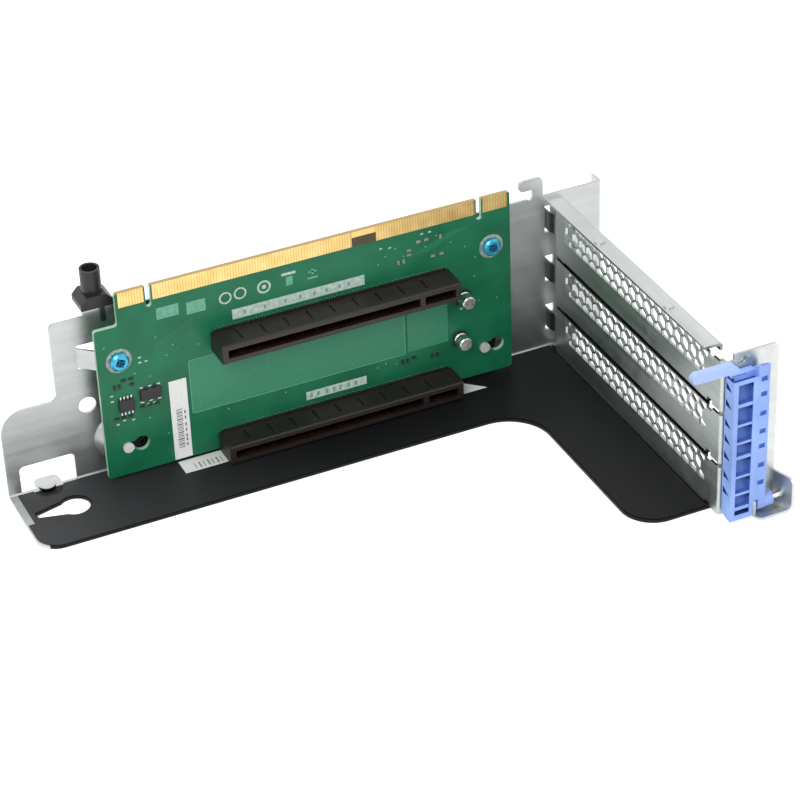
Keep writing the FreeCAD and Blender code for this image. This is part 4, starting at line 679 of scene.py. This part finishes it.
can_metal = turned_finish("can_metal", (0.72, 0.72, 0.72))
finish_node("capacitor_can_upper", can_metal)
finish_node("capacitor_can_lower", can_metal)
epoxy = moulded_finish("epoxy", (0.020, 0.020, 0.022), 0.50, 1800.0, 0.00002)
for piece in ("capacitor_foot_upper", "capacitor_foot_lower", "driver_chip", "clock_chip",
              "chip_resistors"):
    finish_node(piece, epoxy)
finish_node("driver_leads", turned_steel)
finish_node("clock_chip_pads", turned_steel)
ceramic = moulded_finish("ceramic", (0.26, 0.24, 0.20), 0.45, 1500.0, 0.00002)
finish_node("chip_capacitors", ceramic)


# ---------------------------------------------------------------- screws
# Blue anodised screws hold the card to the carrier's straps.

screw_blue, screw_tree, screw_shader = new_shader("screw_blue", (0.05, 0.38, 0.55), 0.75, 0.30)
screw_marks = add_noise(screw_tree, place_texture(screw_tree, (1.0, 1.0, 1.0)), 900.0, 2.0)
link(screw_tree, spread(screw_tree, screw_marks, 0.22, 0.42), screw_shader.inputs["Roughness"])
finish_node("board_screw_left", screw_blue)
finish_node("board_screw_right", screw_blue)
# Dark blue plates fill the cross recesses of the screw heads: painted shade in the recesses.
painted_recess_shade = ink_finish("painted_recess_shade", (0.008, 0.07, 0.16), (0.015, 0.11, 0.24), 0.5)
for side, turn in (("left", 0.35), ("right", 0.9)):
    across, height = SCREW_PLACES[side]
    middle = height - CARD_FOOT
    arms = []
    for angle in (turn, turn + math.pi / 2.0):
        reach = (1.75 * math.cos(angle), 1.75 * math.sin(angle))
        arms.append(stroke_loop((across - reach[0], middle - reach[1]),
                                (across + reach[0], middle + reach[1]), 0.6))
    card_plates("cross_recess_" + side, arms, -1.2, 1.1, painted_recess_shade)


# ---------------------------------------------------------------- latch
# The retention latch is one blue moulding that swings on a steel pin: a ladder
# of sloping pockets, notches down its side, a marked rail and a thumb arm.

LATCH_BACK, LATCH_FRONT, LATCH_SHELF = -112.8, -118.4, 55.8
LADDER_FOOT, LADDER_TOP, POCKET_BACK = 4.6, 54.6, -114.6
WALL_OUTER, WALL_INNER = 174.5, 176.2
DIVIDER, DIVIDER_EDGE, RAIL_LEFT = 181.8, 183.6, 183.8
RAIL_STEP, RAIL_RIGHT, BARREL_END = 185.4, 188.0, 191.4
RAIL_FACE, RAIL_FRONT, RAIL_FOOT, RAIL_TOP = -117.2, -118.1, 7.0, 59.6
HINGE = (-115.6, 4.6)
latch_points, latch_faces = [], []


def latch_prism(outline, left, right):
    """Carries an outline of y and z, in mm, along x: anticlockwise seen from the
    left end reads outward, so either order is put right by its signed area."""
    area = sum(a[0] * b[1] - b[0] * a[1] for a, b in zip(outline, outline[1:] + outline[:1]))
    ring = outline if area > 0.0 else outline[::-1]
    carry_ring(latch_points, latch_faces, [(left * MM, y * MM, z * MM) for y, z in ring],
               [(right * MM, y * MM, z * MM) for y, z in ring])


def latch_box(left, right, front, back, low, high):
    """One block of the moulding, from its bounds in mm."""
    latch_prism([(front, low), (back, low), (back, high), (front, high)], left, right)


def hinge_arc(radius, start, end, steps=12):
    """Points round the hinge line from one angle to another, in degrees from +Y."""
    turns = np.radians(np.linspace(start, end, steps))
    return [(HINGE[0] + radius * math.cos(t), HINGE[1] + radius * math.sin(t)) for t in turns]


# The back plate, then the left wall with its sloping notches, and the divider.
latch_box(WALL_INNER, DIVIDER, POCKET_BACK, LATCH_BACK, LADDER_FOOT, LADDER_TOP)
NOTCH_RISE, NOTCH_INNER, NOTCH_BACK = 2.7, 175.9, -113.4
floor_level = LADDER_FOOT
for low in (10.9, 17.1, 24.8, 31.22, 37.42, 45.12, 51.54):
    high = low + NOTCH_RISE
    latch_box(WALL_OUTER, WALL_INNER, LATCH_FRONT, LATCH_BACK, floor_level, low)
    latch_prism([(LATCH_FRONT, low), (-117.3, low), (NOTCH_BACK, high), (LATCH_FRONT, high)],
                WALL_OUTER, NOTCH_INNER)
    latch_box(WALL_OUTER, NOTCH_INNER, NOTCH_BACK, LATCH_BACK, low, high)
    latch_box(NOTCH_INNER, WALL_INNER, LATCH_FRONT, LATCH_BACK, low, high)
    floor_level = high
latch_box(WALL_OUTER, WALL_INNER, LATCH_FRONT, LATCH_BACK, floor_level, LADDER_TOP)
latch_box(DIVIDER, DIVIDER_EDGE, LATCH_FRONT, LATCH_BACK, LADDER_FOOT, LADDER_TOP)
latch_box(DIVIDER_EDGE, RAIL_LEFT, LATCH_FRONT, LATCH_BACK, RAIL_FOOT, LADDER_TOP)

# The top: a front lip, an end cap, the groove's floor and the ridge behind it.
GROOVE_FRONT, GROOVE_BACK, GROOVE_LEFT = -117.8, -115.4, 175.0
latch_box(WALL_OUTER, RAIL_LEFT, LATCH_FRONT, GROOVE_FRONT, LADDER_TOP, LATCH_SHELF)
latch_box(WALL_OUTER, GROOVE_LEFT, GROOVE_FRONT, LATCH_BACK, LADDER_TOP, LATCH_SHELF)
latch_box(GROOVE_LEFT, RAIL_LEFT, GROOVE_FRONT, GROOVE_BACK, LADDER_TOP, LADDER_TOP + 0.2)
latch_box(GROOVE_LEFT, RAIL_LEFT, GROOVE_BACK, LATCH_BACK, LADDER_TOP, 57.2)

# The rungs, each by its middle height and thickness, over pockets whose backs slope.
RUNGS = ((5.8, 1.3), (11.5, 0.9), (18.4, 0.9), (26.12, 1.3), (31.82, 0.9), (38.72, 0.9), (46.44, 1.3))
pocket_tops = [middle - tall / 2.0 for middle, tall in RUNGS] + [LADDER_TOP]
pocket_sills = [3.3] + [top + tall for top, (middle, tall) in zip(pocket_tops, RUNGS)]
for sill, top in zip(pocket_sills, pocket_tops):
    latch_prism([(POCKET_BACK, sill), (POCKET_BACK, top), (-114.8, top), (-116.4, sill)],
                WALL_INNER, DIVIDER)
for top, (middle, tall) in zip(pocket_tops, RUNGS):
    latch_box(WALL_INNER, DIVIDER, -118.15, POCKET_BACK, top, top + tall)

# The foot, rounded about the hinge, and the barrel beside it.
FOOT_RADIUS, BARREL_RADIUS = 2.8, 2.6
for left, end in ((WALL_OUTER, WALL_INNER), (DIVIDER, 183.0)):
    latch_prism([(LATCH_FRONT, HINGE[1]), (LATCH_FRONT, 1.4)] + hinge_arc(FOOT_RADIUS, -80.0, 0.0),
                left, end)
latch_prism([(LATCH_FRONT, 3.3), (LATCH_FRONT, 1.4), (-115.1, 1.85), (POCKET_BACK, 1.99),
             (POCKET_BACK, 3.3)], WALL_INNER, DIVIDER)
latch_prism([(POCKET_BACK, LADDER_FOOT)] + hinge_arc(FOOT_RADIUS, -69.0, 0.0), WALL_INNER, DIVIDER)
latch_prism(hinge_arc(FOOT_RADIUS, 180.0, 360.0, 24), 183.0, DIVIDER_EDGE)
latch_prism(hinge_arc(FOOT_RADIUS, 180.0, 360.0, 24), RAIL_STEP, RAIL_RIGHT)
latch_prism(hinge_arc(BARREL_RADIUS, 0.0, 348.75, 32), RAIL_RIGHT, BARREL_END)

# The rail, bevelled down to the back, with a row of small sunk marks in its face.
MARK_LEFT, MARK_RIGHT, MARK_TALL = 184.8, 187.2, 1.8
for left, right, low in ((RAIL_LEFT, RAIL_STEP, RAIL_FOOT), (RAIL_STEP, RAIL_RIGHT, LADDER_FOOT)):
    latch_prism([(RAIL_FACE, low), (LATCH_BACK, low), (LATCH_BACK, 56.6), (RAIL_FACE, 59.2)],
                left, right)
latch_box(RAIL_LEFT, MARK_LEFT, RAIL_FRONT, RAIL_FACE, RAIL_FOOT, RAIL_TOP)
latch_box(MARK_RIGHT, RAIL_RIGHT, RAIL_FRONT, RAIL_FACE, LADDER_FOOT, RAIL_TOP)
latch_box(RAIL_STEP, MARK_RIGHT, RAIL_FRONT, RAIL_FACE, LADDER_FOOT, RAIL_FOOT)
floor_level = RAIL_FOOT
for low in (12.9, 19.9, 27.4, 33.22, 40.22, 47.72, 53.54, RAIL_TOP):
    latch_box(MARK_LEFT, MARK_RIGHT, RAIL_FRONT, RAIL_FACE, floor_level, low)
    floor_level = low + MARK_TALL

# The thumb arm: a round-ended outline of x and z, carried from its back to its front.
ARM_FRONT, ARM_BACK, ARM_RADIUS = -115.8, -113.2, 1.8
arm_turn = np.linspace(0.5 * np.pi, 1.5 * np.pi, 13)
arm_ring = [(162.4 + ARM_RADIUS * math.cos(t), 59.6 + ARM_RADIUS * math.sin(t)) for t in arm_turn]
arm_ring += [(174.0, 57.8), (174.8, 56.8), (180.2, 56.8), (175.6, 61.4)]
carry_ring(latch_points, latch_faces, [(x * MM, ARM_BACK * MM, z * MM) for x, z in arm_ring],
           [(x * MM, ARM_FRONT * MM, z * MM) for x, z in arm_ring])

latch_blue = moulded_finish("latch_blue", (0.27, 0.41, 0.84), 0.38, 1300.0, 0.00003)
latch_tree = latch_blue.node_tree
latch_shader, latch_tone = base_tone(latch_blue)
# Painted shade darkens the pockets, the notches, the groove, the rail's sunk marks and a strip under each
# rung; the thumb arm is painted lighter, a painted highlight.
latch_painted_light = {
    "pockets": ((0.17615, -0.11812, 0.0032), (0.18185, -0.1140, 0.0545), (0.075, 0.16, 0.50)),
    "notches": ((0.17455, -0.1175, 0.0070), (0.1761, -0.1131, 0.0560), (0.025, 0.06, 0.24)),
    "groove": ((0.17495, -0.11778, 0.0545), (0.1837, -0.11545, 0.0570), (0.03, 0.07, 0.34)),
    "rail marks": ((0.18482, -0.11805, 0.0080), (0.18718, -0.1165, 0.0605), (0.12, 0.20, 0.62)),
    "arm": ((0.1600, -0.1170, 0.0573), (0.1815, -0.1130, 0.0620), (0.38, 0.51, 0.85))}
for top in pocket_tops:
    latch_painted_light[f"shade under {top:.2f}"] = ((0.17615, -0.11812, (top - 2.0) * MM),
                                             (0.18185, -0.1140, (top + 0.02) * MM), (0.02, 0.05, 0.22))
for low, high, tone in latch_painted_light.values():
    latch_tone = blend_colour(latch_tree, inside_box(latch_tree, low, high), latch_tone, tone)
link(latch_tree, latch_tone, latch_shader.inputs["Base Color"])
latch_moulding = add_piece("latch_moulding", latch_points, latch_faces, latch_blue, "latch")
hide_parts("retention_latch")


# ---------------------------------------------------------------- guide post
# A hollow post moulded in black plastic, snapped through the wall's ledge.

post_black = moulded_finish("post_black", (0.018, 0.018, 0.019), 0.40, 1400.0, 0.00003)
finish_node("guide_post", post_black)
